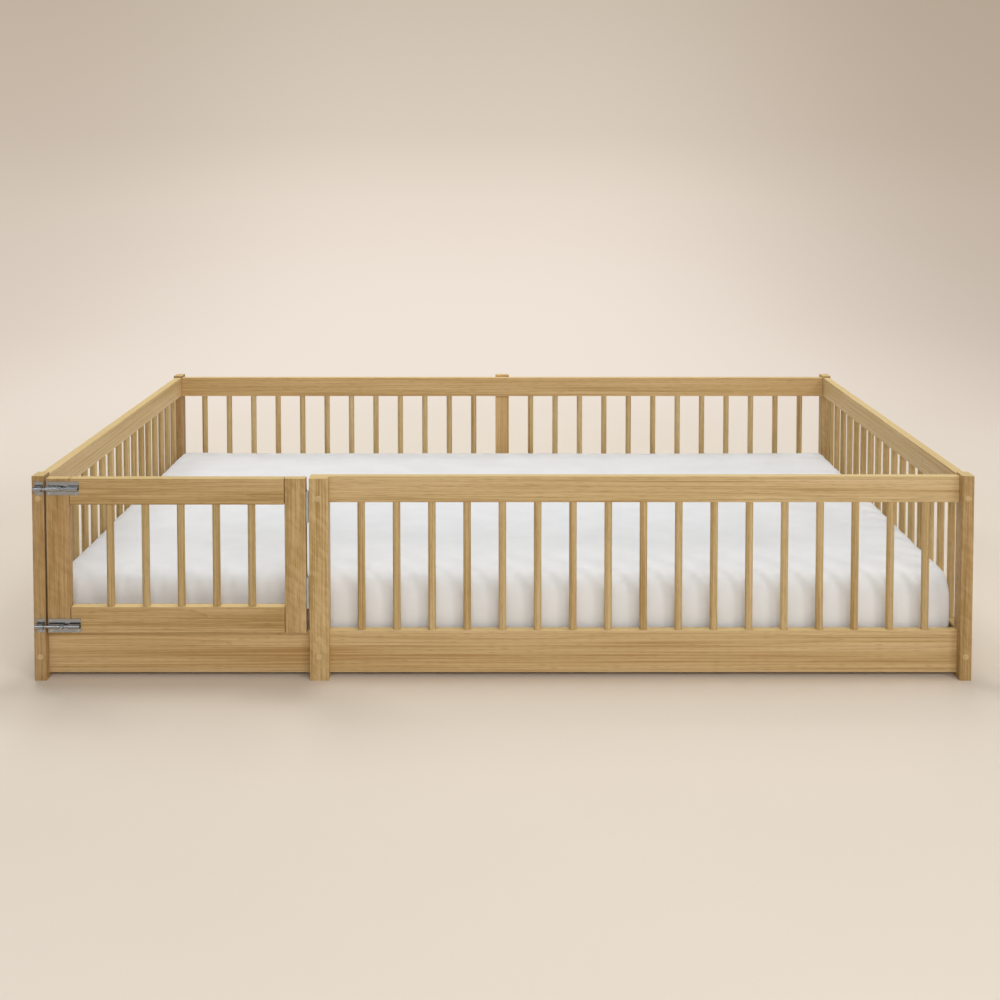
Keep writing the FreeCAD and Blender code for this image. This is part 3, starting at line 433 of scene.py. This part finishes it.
def oak(name, grain, pith, colours, figure=1.0, wander=22.0, curl=0.0, cell=None):
    """Lacquered oak whose grain runs along X, Y or Z, with the pith at a point beside the board.

    figure above 1 shortens the pattern, wander bends the rings, curl adds the ripple of twisted grain,
    and cell gives each of a row of parts its own wood.
    """
    pale, medium, deep, pore = colours
    material, tree = new_material(name)
    place = add(tree, "TexCoord").outputs["Object"]
    if cell:
        axis, first, pitch = cell
        parts = add(tree, "SeparateXYZ", {0: place})
        start = first - pitch / 2
        from_start = add(tree, "Math", {0: parts.outputs[axis], 1: start}, operation="SUBTRACT")
        count = add(tree, "Math", {0: from_start.outputs[0], 1: pitch}, operation="DIVIDE")
        number = add(tree, "Math", {0: count.outputs[0]}, operation="FLOOR")
        chance = add(tree, "TexWhiteNoise", {"W": number.outputs[0]}, noise_dimensions="1D")
        jump = add(tree, "VectorMath", {0: chance.outputs["Color"], 1: CELL_JUMP}, operation="MULTIPLY")
        place = add(tree, "VectorMath", {0: place, 1: jump.outputs[0]}, operation="ADD").outputs[0]
    turned = add(tree, "Mapping", {"Vector": place, "Rotation": GRAIN_TURNS[grain]})
    centred = add(tree, "VectorMath", {0: turned.outputs[0], 1: pith}, operation="SUBTRACT").outputs[0]

    def drawn_out(along, across, detail, turn=0.0):
        """Noise with so many waves to the metre along and across the grain."""
        space = add(tree, "Mapping", {"Vector": centred, "Rotation": (0, turn, 0)})
        thin = add(tree, "Mapping", {"Vector": space.outputs[0], "Scale": (along, across, across)})
        drawn = add(tree, "TexNoise", {"Vector": thin.outputs[0], "Scale": 1.0, "Detail": detail})
        return drawn.outputs["Fac"]

    def stain(under, over, pattern, low, high, most):
        """Lay a colour over another, none where the pattern is low and most where it is high."""
        limits = {"Value": pattern, "From Min": low, "From Max": high, "To Max": most}
        share = add(tree, "MapRange", limits)
        both = {0: share.outputs[0], MIX_A: under, MIX_B: linear(over)}
        return add(tree, "Mix", both, data_type="RGBA").outputs[MIXED]

    bands = drawn_out(0.8 * figure, 26, 2.0)        # sapwood and heartwood, some 40 mm wide
    streaks = drawn_out(1.3 * figure, 290, 2.0)     # growth streaks, some 3 mm wide
    fibres = drawn_out(4 * figure, 560, 2.0)        # fibres, 2 mm, drawn coarser than real ones
    pores = drawn_out(38, 1100, 0.0)                # open pores, under 1 mm wide and 25 mm long
    both = add(tree, "Math", {0: bands, 1: streaks}, operation="ADD").outputs[0]
    all_three = add(tree, "Math", {0: both, 1: fibres}, operation="ADD").outputs[0]
    # each of the three is near a half most of the time, so their sum is near one and a half
    depth = add(tree, "MapRange", {"Value": all_three, "From Min": 1.08, "From Max": 1.92})
    tones = [(0.04, deep), (0.46, medium), (0.92, pale)]
    ground = add(tree, "ValToRGB", {"Fac": depth.outputs[0]}, stops=tones)

    # the rings change slowly along the board, and the dark late wood is the last part of each
    long_rings = add(tree, "Mapping", {"Vector": centred, "Scale": (0.07 * figure, 1, 1)})
    rings = add(
        tree, "TexWave",
        {"Vector": long_rings.outputs[0], "Scale": WAVE_RING / RING, "Distortion": wander,
         "Detail": 3.0, "Detail Scale": 0.14, "Detail Roughness": 0.42},
        wave_type="RINGS", rings_direction="X", wave_profile="SAW",
    )
    colour = stain(ground.outputs[0], deep, rings.outputs["Fac"], 0.72, 0.99, 0.36)
    colour = stain(colour, pore, pores, 0.60, 0.72, 0.30)
    if curl:
        # twisted grain ripples across the board, dark on one side of each ripple and pale on the other
        ripples = drawn_out(30, 100, 4.0, turn=0.8)
        colour = stain(colour, deep, ripples, 0.46, 0.70, 0.40 * curl)
        colour = stain(colour, pale, ripples, 0.50, 0.28, 0.36 * curl)
    # painted highlight: faces that look up are lightened towards a pale tone, for the light from above
    facing = add(tree, "SeparateXYZ", {0: add(tree, "NewGeometry").outputs["Normal"]})
    colour = stain(colour, PAINTED_TOP_HIGHLIGHT, facing.outputs["Z"], *LOOKS_UP, TOP_HIGHLIGHT_SHARE)

    gloss = add(tree, "MapRange", {"Value": fibres, "To Min": LACQUER_SMOOTH, "To Max": LACQUER_ROUGH})
    bump = add(tree, "Bump", {"Height": fibres, "Strength": 0.15, "Distance": FIBRE_DEPTH})
    surface = add(
        tree, "BsdfPrincipled",
        {"Base Color": colour, "Roughness": gloss.outputs[0], "Normal": bump.outputs[0], "IOR": 1.5,
         "Specular IOR Level": LACQUER_SHINE},
    )
    add(tree, "OutputMaterial", {"Surface": surface.outputs[0]})
    return material


# %% Name the oak's tones
RAIL_OAK = ("#DDC296", "#CFB280", "#B28E5B", "#8C693A")
BOARD_OAK = ("#DABD90", "#CCAD7B", "#B08A57", "#896637")
BACK_OAK = ("#DCBA89", "#CEAB75", "#B28853", "#8B6534")
MIDDLE_OAK = ("#DBBF91", "#CBAD7A", "#AC8A55", "#856338")
GATE_OAK = ("#D1B384", "#C1A16E", "#A38250", "#7F5F36")
LATCH_OAK = ("#C7A778", "#B89565", "#9C7849", "#795831")
POST_OAK = ("#CAAE7F", "#B99969", "#9C7B4C", "#795A34")
LEFT_POST_OAK = ("#BE9E71", "#AE8B5C", "#927042", "#71512D")
SPINDLE_OAK = ("#D7BE90", "#C9AC7A", "#AB8955", "#856738")
GATE_SPINDLE_OAK = ("#CEB689", "#C1A574", "#A48350", "#7F6335")
SLAT_PINE = ("#E7CF9F", "#DDC08C", "#C9A46C", "#A87F48")
PLUG_OAK = ("#D8BF94", "#CEB284", "#B7986A", "#99794C")


def pith_beside(node, grain, off, along):
    """A point beside a board, in the pattern's own directions.

    off is how far sideways it lies, in mm, and along slides the pattern, in metres.
    """
    low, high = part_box(node)
    c = (low + high) / 2
    centre = {"X": (c.x, c.y, c.z), "Y": (c.y, -c.x, c.z), "Z": (c.z, c.y, -c.x)}[grain]
    return (centre[0] + along, centre[1] + off[0] * MM, centre[2] + off[1] * MM)


BOARDS = {
    # node: grain, where the pith lies (mm), how far along (m), tones, figure, wander, curl
    "front_top_rail": ("X", (46, -34), 0.3, RAIL_OAK, 1.0, 22, 0),
    "front_bottom_rail": ("X", (40, 16), 1.7, BOARD_OAK, 1.0, 26, 0),
    "back_top_rail": ("X", (-44, -38), 3.1, BACK_OAK, 1.0, 20, 0),
    "back_bottom_rail": ("X", (-58, 26), 4.9, BACK_OAK, 1.0, 24, 0),
    "left_top_rail": ("Y", (-40, -40), 5.3, RAIL_OAK, 1.0, 22, 0),
    "left_bottom_rail": ("Y", (-50, 28), 6.1, BOARD_OAK, 1.0, 24, 0),
    "right_top_rail": ("Y", (40, -44), 7.7, RAIL_OAK, 1.0, 22, 0),
    "right_bottom_rail": ("Y", (50, 22), 8.9, BOARD_OAK, 1.0, 24, 0),
    "gate_top_rail": ("X", (38, -14), 9.3, GATE_OAK, 1.6, 24, 0),
    "gate_bottom_rail": ("X", (40, 18), 10.7, GATE_OAK, 1.6, 26, 0),
    "gate_latch_stile": ("Z", (30, 18), 0.9, LATCH_OAK, 3.0, 20, 0.8),
    "gate_hinge_stile": ("Z", (34, -26), 2.3, GATE_OAK, 3.0, 24, 1.0),
    "gate_post": ("Z", (30, 30), 3.7, MIDDLE_OAK, 3.0, 24, 1.0),
    "front_left_post": ("Z", (36, -20), 4.1, LEFT_POST_OAK, 2.6, 18, 0.7),
    "front_right_post": ("Z", (28, 26), 5.9, POST_OAK, 2.8, 22, 0.9),
    "back_left_post": ("Z", (-36, 22), 6.7, LEFT_POST_OAK, 2.6, 18, 0.7),
    "back_right_post": ("Z", (-30, -28), 7.1, POST_OAK, 2.8, 22, 0.8),
    "back_center_post": ("Z", (-40, 18), 8.3, BACK_OAK, 1.6, 20, 0.2),
    "front_ledger": ("X", (40, 30), 11.1, SLAT_PINE, 1.0, 20, 0),
    "back_ledger": ("X", (40, -30), 12.7, SLAT_PINE, 1.0, 20, 0),
    "center_beam": ("X", (30, 40), 13.3, SLAT_PINE, 1.0, 20, 0),
}


def finish(node, material):
    """Put a material on a node that came from CAD."""
    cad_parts[node].material_slots[0].material = material


for node, (grain, off, along, colours, figure, wander, curl) in BOARDS.items():
    kind = "pine" if colours is SLAT_PINE else "satin_oak"
    pith = pith_beside(node, grain, off, along)
    finish(node, oak(f"{kind}_{node}", grain, pith, colours, figure, wander, curl))
print("boards", len(BOARDS))

# %% Turned spindles and other rows of wooden parts
ROWS = {
    # node: grain, the axis of the row, how many parts it has and how wide each is (mm), tones
    "front_spindles": ("Z", "X", 17, 16, SPINDLE_OAK),
    "back_spindles_left": ("Z", "X", 12, 16, SPINDLE_OAK),
    "back_spindles_right": ("Z", "X", 12, 16, SPINDLE_OAK),
    "left_spindles": ("Z", "Y", 16, 16, SPINDLE_OAK),
    "right_spindles": ("Z", "Y", 16, 16, SPINDLE_OAK),
    "slats": ("Y", "X", 15, 70, SLAT_PINE),
}
ROW_PITH = ((35, 25), 0.4)  # off and along, as for the boards
ROW_FIGURE = {"figure": 1.8, "wander": 16, "curl": 0.25}
GATE_SPINDLES = 5


def first_and_pitch(row, axis, count, width):
    """Where the middle of a row's first part is and how far it is to the next, from the row's box."""
    low, high = (corner["XYZ".index(axis)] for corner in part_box(row))
    return low + width / 2, (high - low - width) / (count - 1)


for row, (grain, axis, count, width, colours) in ROWS.items():
    kind = "pine" if colours is SLAT_PINE else "turned_oak"
    pith = pith_beside(row, grain, *ROW_PITH)
    cell = (axis, *first_and_pitch(row, axis, count, width * MM))
    finish(row, oak(f"{kind}_{row}", grain, pith, colours, **ROW_FIGURE, cell=cell))
for number in range(1, GATE_SPINDLES + 1):
    node = f"gate_spindle_{number}"
    off = (20 + 4 * number, 18)  # each of the five is cut from another place
    pith = pith_beside(node, "Z", off, number)
    finish(node, oak(f"turned_oak_{node}", "Z", pith, GATE_SPINDLE_OAK, **ROW_FIGURE))
print("rows", len(ROWS), "and", GATE_SPINDLES, "gate spindles")

# %% Feet, plugs and dowels
FEET_CELLS = ("X", -0.6, 0.3)  # cells 0.3 m long, so that each of the three feet is in its own
PLUG_PITH = (0, 0.013, 0.021)  # close by, so that the plugs' ends show arcs

feet_pith = pith_beside("beam_feet", "Z", *ROW_PITH)
finish("beam_feet", oak("pine_beam_feet", "Z", feet_pith, SLAT_PINE, **ROW_FIGURE, cell=FEET_CELLS))
plug_oak = oak("plug_oak_end_grain", "Y", PLUG_PITH, PLUG_OAK, figure=1.0, wander=6)
for node in ("screw_plugs", "gate_dowels"):
    finish(node, plug_oak)
print("feet, plugs and dowels done")

# %% [markdown]
# ## Steel
#
# The hinges are pressed steel with a satin nickel plate, the barrel bolts have a bright one, and the
# screws are zinc plated. Plated steel is a metal through and through for light, so its colour is the
# colour of its reflection. What tells the three apart is roughness and the fine lines that rolling
# and polishing leave.


# %% Plated steel
LINES_ALONG = 20  # a polishing line fades and comes back this many times to the metre


def plated(name, colour, shade, smooth, rough, line_mm, turn):
    """Plated steel with polishing lines line_mm apart; shade is the plate where it is worn or dull."""
    material, tree = new_material(name)
    place = add(tree, "TexCoord").outputs["Object"]
    across = 1 / (line_mm * MM)
    scale = (LINES_ALONG, across, across)
    brushed = add(tree, "Mapping", {"Vector": place, "Rotation": turn, "Scale": scale})
    lines = add(tree, "TexNoise", {"Vector": brushed.outputs[0], "Scale": 1.0, "Detail": 2.0})
    clouds = add(tree, "TexNoise", {"Vector": place, "Scale": 110.0, "Detail": 3.0})
    tone = add(tree, "ValToRGB", {"Fac": clouds.outputs["Fac"]}, stops=[(0.35, shade), (0.62, colour)])
    gloss = add(
        tree, "MapRange",
        {"Value": lines.outputs["Fac"], "From Min": 0.3, "From Max": 0.7,
         "To Min": smooth, "To Max": rough},
    )
    bump = add(tree, "Bump", {"Height": lines.outputs["Fac"], "Strength": 0.01, "Distance": 0.01 * MM})
    surface = add(
        tree, "BsdfPrincipled",
        {"Base Color": tone.outputs[0], "Metallic": 1.0, "Roughness": gloss.outputs[0],
         "Normal": bump.outputs[0]},
    )
    add(tree, "OutputMaterial", {"Surface": surface.outputs[0]})
    return material


bright_nickel = plated("bright_nickel_bolts", "#A4A6A8", "#9EA0A2", 0.14, 0.17, 0.4, (0, 0, 0))
satin_nickel = plated("satin_nickel_hinges", "#C8CACC", "#BEC0C2", 0.28, 0.36, 0.5, (0, math.pi / 2, 0))
zinc = plated("zinc_screws", "#C4C5C2", "#A8AAA8", 0.32, 0.46, 0.5, (0, 0, 0))

for side in ("upper", "lower"):
    for part in ("plate", "barrel", "rod", "knob", "keeper"):
        finish(f"{side}_bolt_{part}", bright_nickel)
    for part in ("post_leaf", "gate_leaf", "pin"):
        finish(f"{side}_hinge_{part}", satin_nickel)
for screws in ("hinge_screws_post", "hinge_screws_gate", "bolt_screws_gate", "bolt_screws_post",
               "long_frame_screws", "short_frame_screws"):
    finish(screws, zinc)
print("steel done")

# %% [markdown]
# ## Cotton and ticking
#
# The sheet is white cotton percale: a plain weave, matt, with a faint bloom where its loose fibres
# catch light from the side. The real threads are a quarter of a millimetre apart, far too fine to show
# here, so the weave is drawn about five times coarser. Waves along X, Y and Z are added up, so each
# face of the mattress shows the two that lie in it. The mattress cover below is a thicker ticking.


# %% Woven cotton
def woven(name, pale, shaded, thread_mm, depth_mm, sheen):
    """A plain weave with threads thread_mm apart that stand depth_mm high."""
    material, tree = new_material(name)
    place = add(tree, "TexCoord").outputs["Object"]
    heights = []
    for direction in ("X", "Y", "Z"):
        threads = add(
            tree, "TexWave",
            {"Vector": place, "Scale": WAVE_RING / (thread_mm * MM), "Distortion": 0.6,
             "Detail": 1.0, "Detail Scale": 0.2},
            wave_type="BANDS", bands_direction=direction,
        )
        heights.append(threads.outputs["Fac"])
    pair = add(tree, "Math", {0: heights[0], 1: heights[1]}, operation="ADD")
    weave = add(tree, "Math", {0: pair.outputs[0], 1: heights[2]}, operation="ADD")
    slubs = add(tree, "TexNoise", {"Vector": place, "Scale": 9.0, "Detail": 6.0, "Roughness": 0.65})
    tone = add(tree, "ValToRGB", {"Fac": slubs.outputs["Fac"]}, stops=[(0.35, shaded), (0.62, pale)])
    bump = add(tree, "Bump", {"Height": weave.outputs[0], "Strength": 0.35, "Distance": depth_mm * MM})
    surface = add(
        tree, "BsdfPrincipled",
        {"Base Color": tone.outputs[0], "Roughness": 0.85, "Specular IOR Level": 0.3,
         "Sheen Weight": sheen, "Sheen Roughness": 0.5, "Normal": bump.outputs[0]},
    )
    add(tree, "OutputMaterial", {"Surface": surface.outputs[0]})
    return material


sheet.data.materials.clear()
sheet.data.materials.append(woven("white_cotton_percale", "#F0F1F2", "#EAEBEC", 1.2, 0.08, 0.15))
mattress.data.materials.clear()
mattress.data.materials.append(woven("cream_ticking", "#EDE8DD", "#DDD6C8", 2.4, 0.25, 0.1))
print("cloth done")

# %% [markdown]
# ## The studio
#
# The photograph was made on a seamless pale backdrop: floor and wall are one sheet that bends up in a
# wide curve. Here it is a round one, a flat disc whose rim sweeps up all round, so the same backdrop
# stands behind the bed from every side. Only the disc bounces light back on to the bed. The sweep is
# left out of the light's way, so the soft daylight of the world still reaches the bed from all round.
# Far from the bed the camera sees a glow in place of the lit surface, with painted shade that darkens
# it up the wall and towards both sides behind the bed.

# %% Backdrop
FLOOR_RADIUS = 5.2
SWEEP = 2.6
WALL_TOP = 9
SWEEP_STEPS = 14
RIM_POINTS = 128

bpy.ops.object.select_all(action="DESELECT")
bpy.ops.mesh.primitive_circle_add(vertices=RIM_POINTS, radius=FLOOR_RADIUS, fill_type="NGON")
floor = begin("studio_floor")
bpy.ops.object.mode_set(mode="OBJECT")

bpy.ops.object.select_all(action="DESELECT")
bpy.ops.mesh.primitive_circle_add(vertices=RIM_POINTS, radius=FLOOR_RADIUS, fill_type="NOTHING")
sweep = begin("studio_sweep")
bpy.ops.mesh.select_mode(type="EDGE")
bpy.ops.mesh.select_all(action="SELECT")
radius, height = FLOOR_RADIUS, 0
rims = [(FLOOR_RADIUS + SWEEP * math.sin(a), SWEEP * (1 - math.cos(a)))
        for a in (math.pi / 2 * k / SWEEP_STEPS for k in range(1, SWEEP_STEPS + 1))]
for next_radius, next_height in [*rims, (FLOOR_RADIUS + SWEEP, WALL_TOP)]:
    bpy.ops.mesh.extrude_edges_move(TRANSFORM_OT_translate={"value": (0, 0, next_height - height)})
    grow = next_radius / radius
    bpy.ops.transform.resize(value=(grow, grow, 1), center_override=(0, 0, next_height))
    radius, height = next_radius, next_height
bpy.ops.mesh.select_all(action="SELECT")
bpy.ops.mesh.normals_make_consistent(inside=True)
bpy.ops.object.mode_set(mode="OBJECT")
bpy.ops.object.shade_smooth()
sweep.visible_diffuse = sweep.visible_glossy = sweep.visible_shadow = False
print("backdrop", round(radius, 2), "m round")

# %% Backdrop glow with painted shade
NEAR, FAR = 1.5, 3.3  # metres from the bed where the lit floor gives way to the painted backdrop
PAINTED_UP_TO = 2.4  # metres: how high the wall's painted shade goes on deepening
PAINTED_WALL_SHADING = [
    (0.0, "#F0E4D8"), (0.08, "#EEE2D6"), (0.30, "#E8DBCD"), (0.51, "#DBCDBE"), (1.0, "#CDBFAE"),
]
PAINTED_SHADE_TONE = "#A28F7C"
PAINTED_SHADE_SIDES = {
    # part: axis, where its painted shade starts and where it is full (m), how deep it is, the slope
    # between
    "right": ("X", 0.0, 4.2, 0.60, "SMOOTHERSTEP"),
    "left": ("X", -0.6, -4.0, 0.34, "SMOOTHERSTEP"),
    "behind": ("Y", 0.4, 2.4, 1.0, "SMOOTHSTEP"),
}


def shown(tree):
    """1 for what the camera sees, also through something clear, and 0 for the light on the bed."""
    ray = add(tree, "LightPath").outputs
    either = {0: ray["Is Camera Ray"], 1: ray["Is Transmission Ray"]}
    return add(tree, "Math", either, operation="MAXIMUM").outputs[0]


paint, tree = new_material("matt_sand_backdrop_painted_shade")
place = add(tree, "TexCoord").outputs["Object"]
mottle = add(tree, "TexNoise", {"Vector": place, "Scale": 1.4, "Detail": 3.0})
tone = add(tree, "ValToRGB", {"Fac": mottle.outputs["Fac"]}, stops=[(0.3, "#EEE2D2"), (0.7, "#F0E4D4")])
lit = add(
    tree, "BsdfPrincipled",
    {"Base Color": tone.outputs[0], "Roughness": 0.9, "Specular IOR Level": 0.2},
)

parts = add(tree, "SeparateXYZ", {0: place})
# far off, the camera sees a glow with painted shade: darker up the wall and towards both sides behind
# the bed
rise = add(tree, "MapRange", {"Value": parts.outputs["Z"], "From Max": PAINTED_UP_TO})
wall = add(tree, "ValToRGB", {"Fac": rise.outputs[0]}, stops=PAINTED_WALL_SHADING)
shades = {}
for name, (axis, start, full, deepest, slope) in PAINTED_SHADE_SIDES.items():
    limits = {"Value": parts.outputs[axis], "From Min": start, "From Max": full, "To Max": deepest}
    shades[name] = add(tree, "MapRange", limits, interpolation_type=slope).outputs[0]
sides = add(tree, "Math", {0: shades["right"], 1: shades["left"]}, operation="ADD")
shade = add(tree, "Math", {0: sides.outputs[0], 1: shades["behind"]}, operation="MULTIPLY")
tones = {0: shade.outputs[0], MIX_A: wall.outputs[0], MIX_B: linear(PAINTED_SHADE_TONE)}
painted = add(tree, "Mix", tones, data_type="RGBA")
glow = add(tree, "Emission", {"Color": painted.outputs[MIXED], "Strength": 1.0})

level = add(tree, "VectorMath", {0: place, 1: (1, 1, 0)}, operation="MULTIPLY")
away = add(tree, "VectorMath", {0: level.outputs[0]}, operation="LENGTH")
limits = {"Value": away.outputs["Value"], "From Min": NEAR, "From Max": FAR}
far = add(tree, "MapRange", limits, interpolation_type="SMOOTHERSTEP")
share = add(tree, "Math", {0: far.outputs[0], 1: shown(tree)}, operation="MULTIPLY")
surface = add(tree, "MixShader", {0: share.outputs[0], 1: lit.outputs[0], 2: glow.outputs[0]})
add(tree, "OutputMaterial", {"Surface": surface.outputs[0]})
for part in (floor, sweep):
    part.data.materials.append(paint)
print("painted backdrop from", NEAR, "to", FAR, "m")

# %% [markdown]
# ## The light
#
# The photograph itself tells where its lamps stood. The shadows of the spindles bend away to the left
# over the mattress's front edge, and the left side of each spindle is the dark one, so the key light
# stands to the right, well in front and not very high. Those shadows are pale, so a wide low fill
# lights the whole front. The wood's right-hand faces are its brightest upright ones, so a third lamp
# lights the bed from the right side. The floor just in front of the bed is darker than the rest, so
# more light falls from over and behind the bed, from two high soft boxes, which also make the top edges
# the brightest wood in the picture. A narrow strip on the left draws the bright line along the bolts,
# and a rim light from behind and a weak daylight, stronger overhead, do the rest.

# %% Soft boxes
LAMPS = {
    # name: place, the point it faces, width, depth (m), power (W)
    "key_right": ((5.0, -6.6, 4.4), (0.1, -0.5, 0.2), 1.6, 1.4, 116),
    "fill_front": ((0.4, -4.8, 1.9), (0.0, -0.6, 0.2), 3.0, 1.6, 69),
    "side_right": ((5.2, -1.0, 2.0), (0.0, -0.6, 0.2), 1.6, 1.6, 32),
    "strip_left": ((-2.3, -4.3, 2.2), (-0.8, -0.6, 0.2), 0.4, 1.8, 7),
    "soft_box_top": ((0.3, 0.9, 4.6), (0, -0.2, 0.1), 2.6, 2.0, 69),
    "soft_box_back_left": ((-2.2, 2.4, 4.0), (-0.2, -0.3, 0.1), 2.4, 1.8, 68),
    "rim_low": ((1.2, 3.6, 2.8), (0, 0, 0.1), 2.6, 1.2, 26),
}
for name, (place, facing, width, depth, power) in LAMPS.items():
    light = bpy.data.lights.new(name, "AREA")
    light.shape, light.size, light.size_y = "RECTANGLE", width, depth
    light.energy = power
    lamp = bpy.data.objects.new(name, light)
    lamp.location = place
    lamp.rotation_euler = (Vector(facing) - Vector(place)).to_track_quat("-Z", "Y").to_euler()
    lamp.visible_camera = False
    bpy.context.scene.collection.objects.link(lamp)
print("lamps", len(LAMPS))

# %% Daylight all round
HORIZON, ZENITH = 0.08, 0.27  # the daylight's strength low down and overhead
ABOVE_THE_WALL = "#E9DCCC"  # what the camera sees over the backdrop's rim

world = bpy.data.worlds.new("studio_daylight")
bpy.context.scene.world = world
world.use_nodes = True
tree = world.node_tree
tree.nodes.clear()
sky = add(tree, "SeparateXYZ", {0: add(tree, "TexCoord").outputs["Generated"]})
strength = add(tree, "MapRange", {"Value": sky.outputs["Z"], "To Min": HORIZON, "To Max": ZENITH})
daylight = add(tree, "Background", {"Color": linear("#FFFFFF"), "Strength": strength.outputs[0]})
seen = add(tree, "Background", {"Color": linear(ABOVE_THE_WALL), "Strength": 1.0})
either = add(tree, "MixShader", {0: shown(tree), 1: daylight.outputs[0], 2: seen.outputs[0]})
add(tree, "OutputWorld", {"Surface": either.outputs[0]})
bpy.context.scene.view_settings.view_transform = "Standard"
print("daylight", HORIZON, "to", ZENITH)
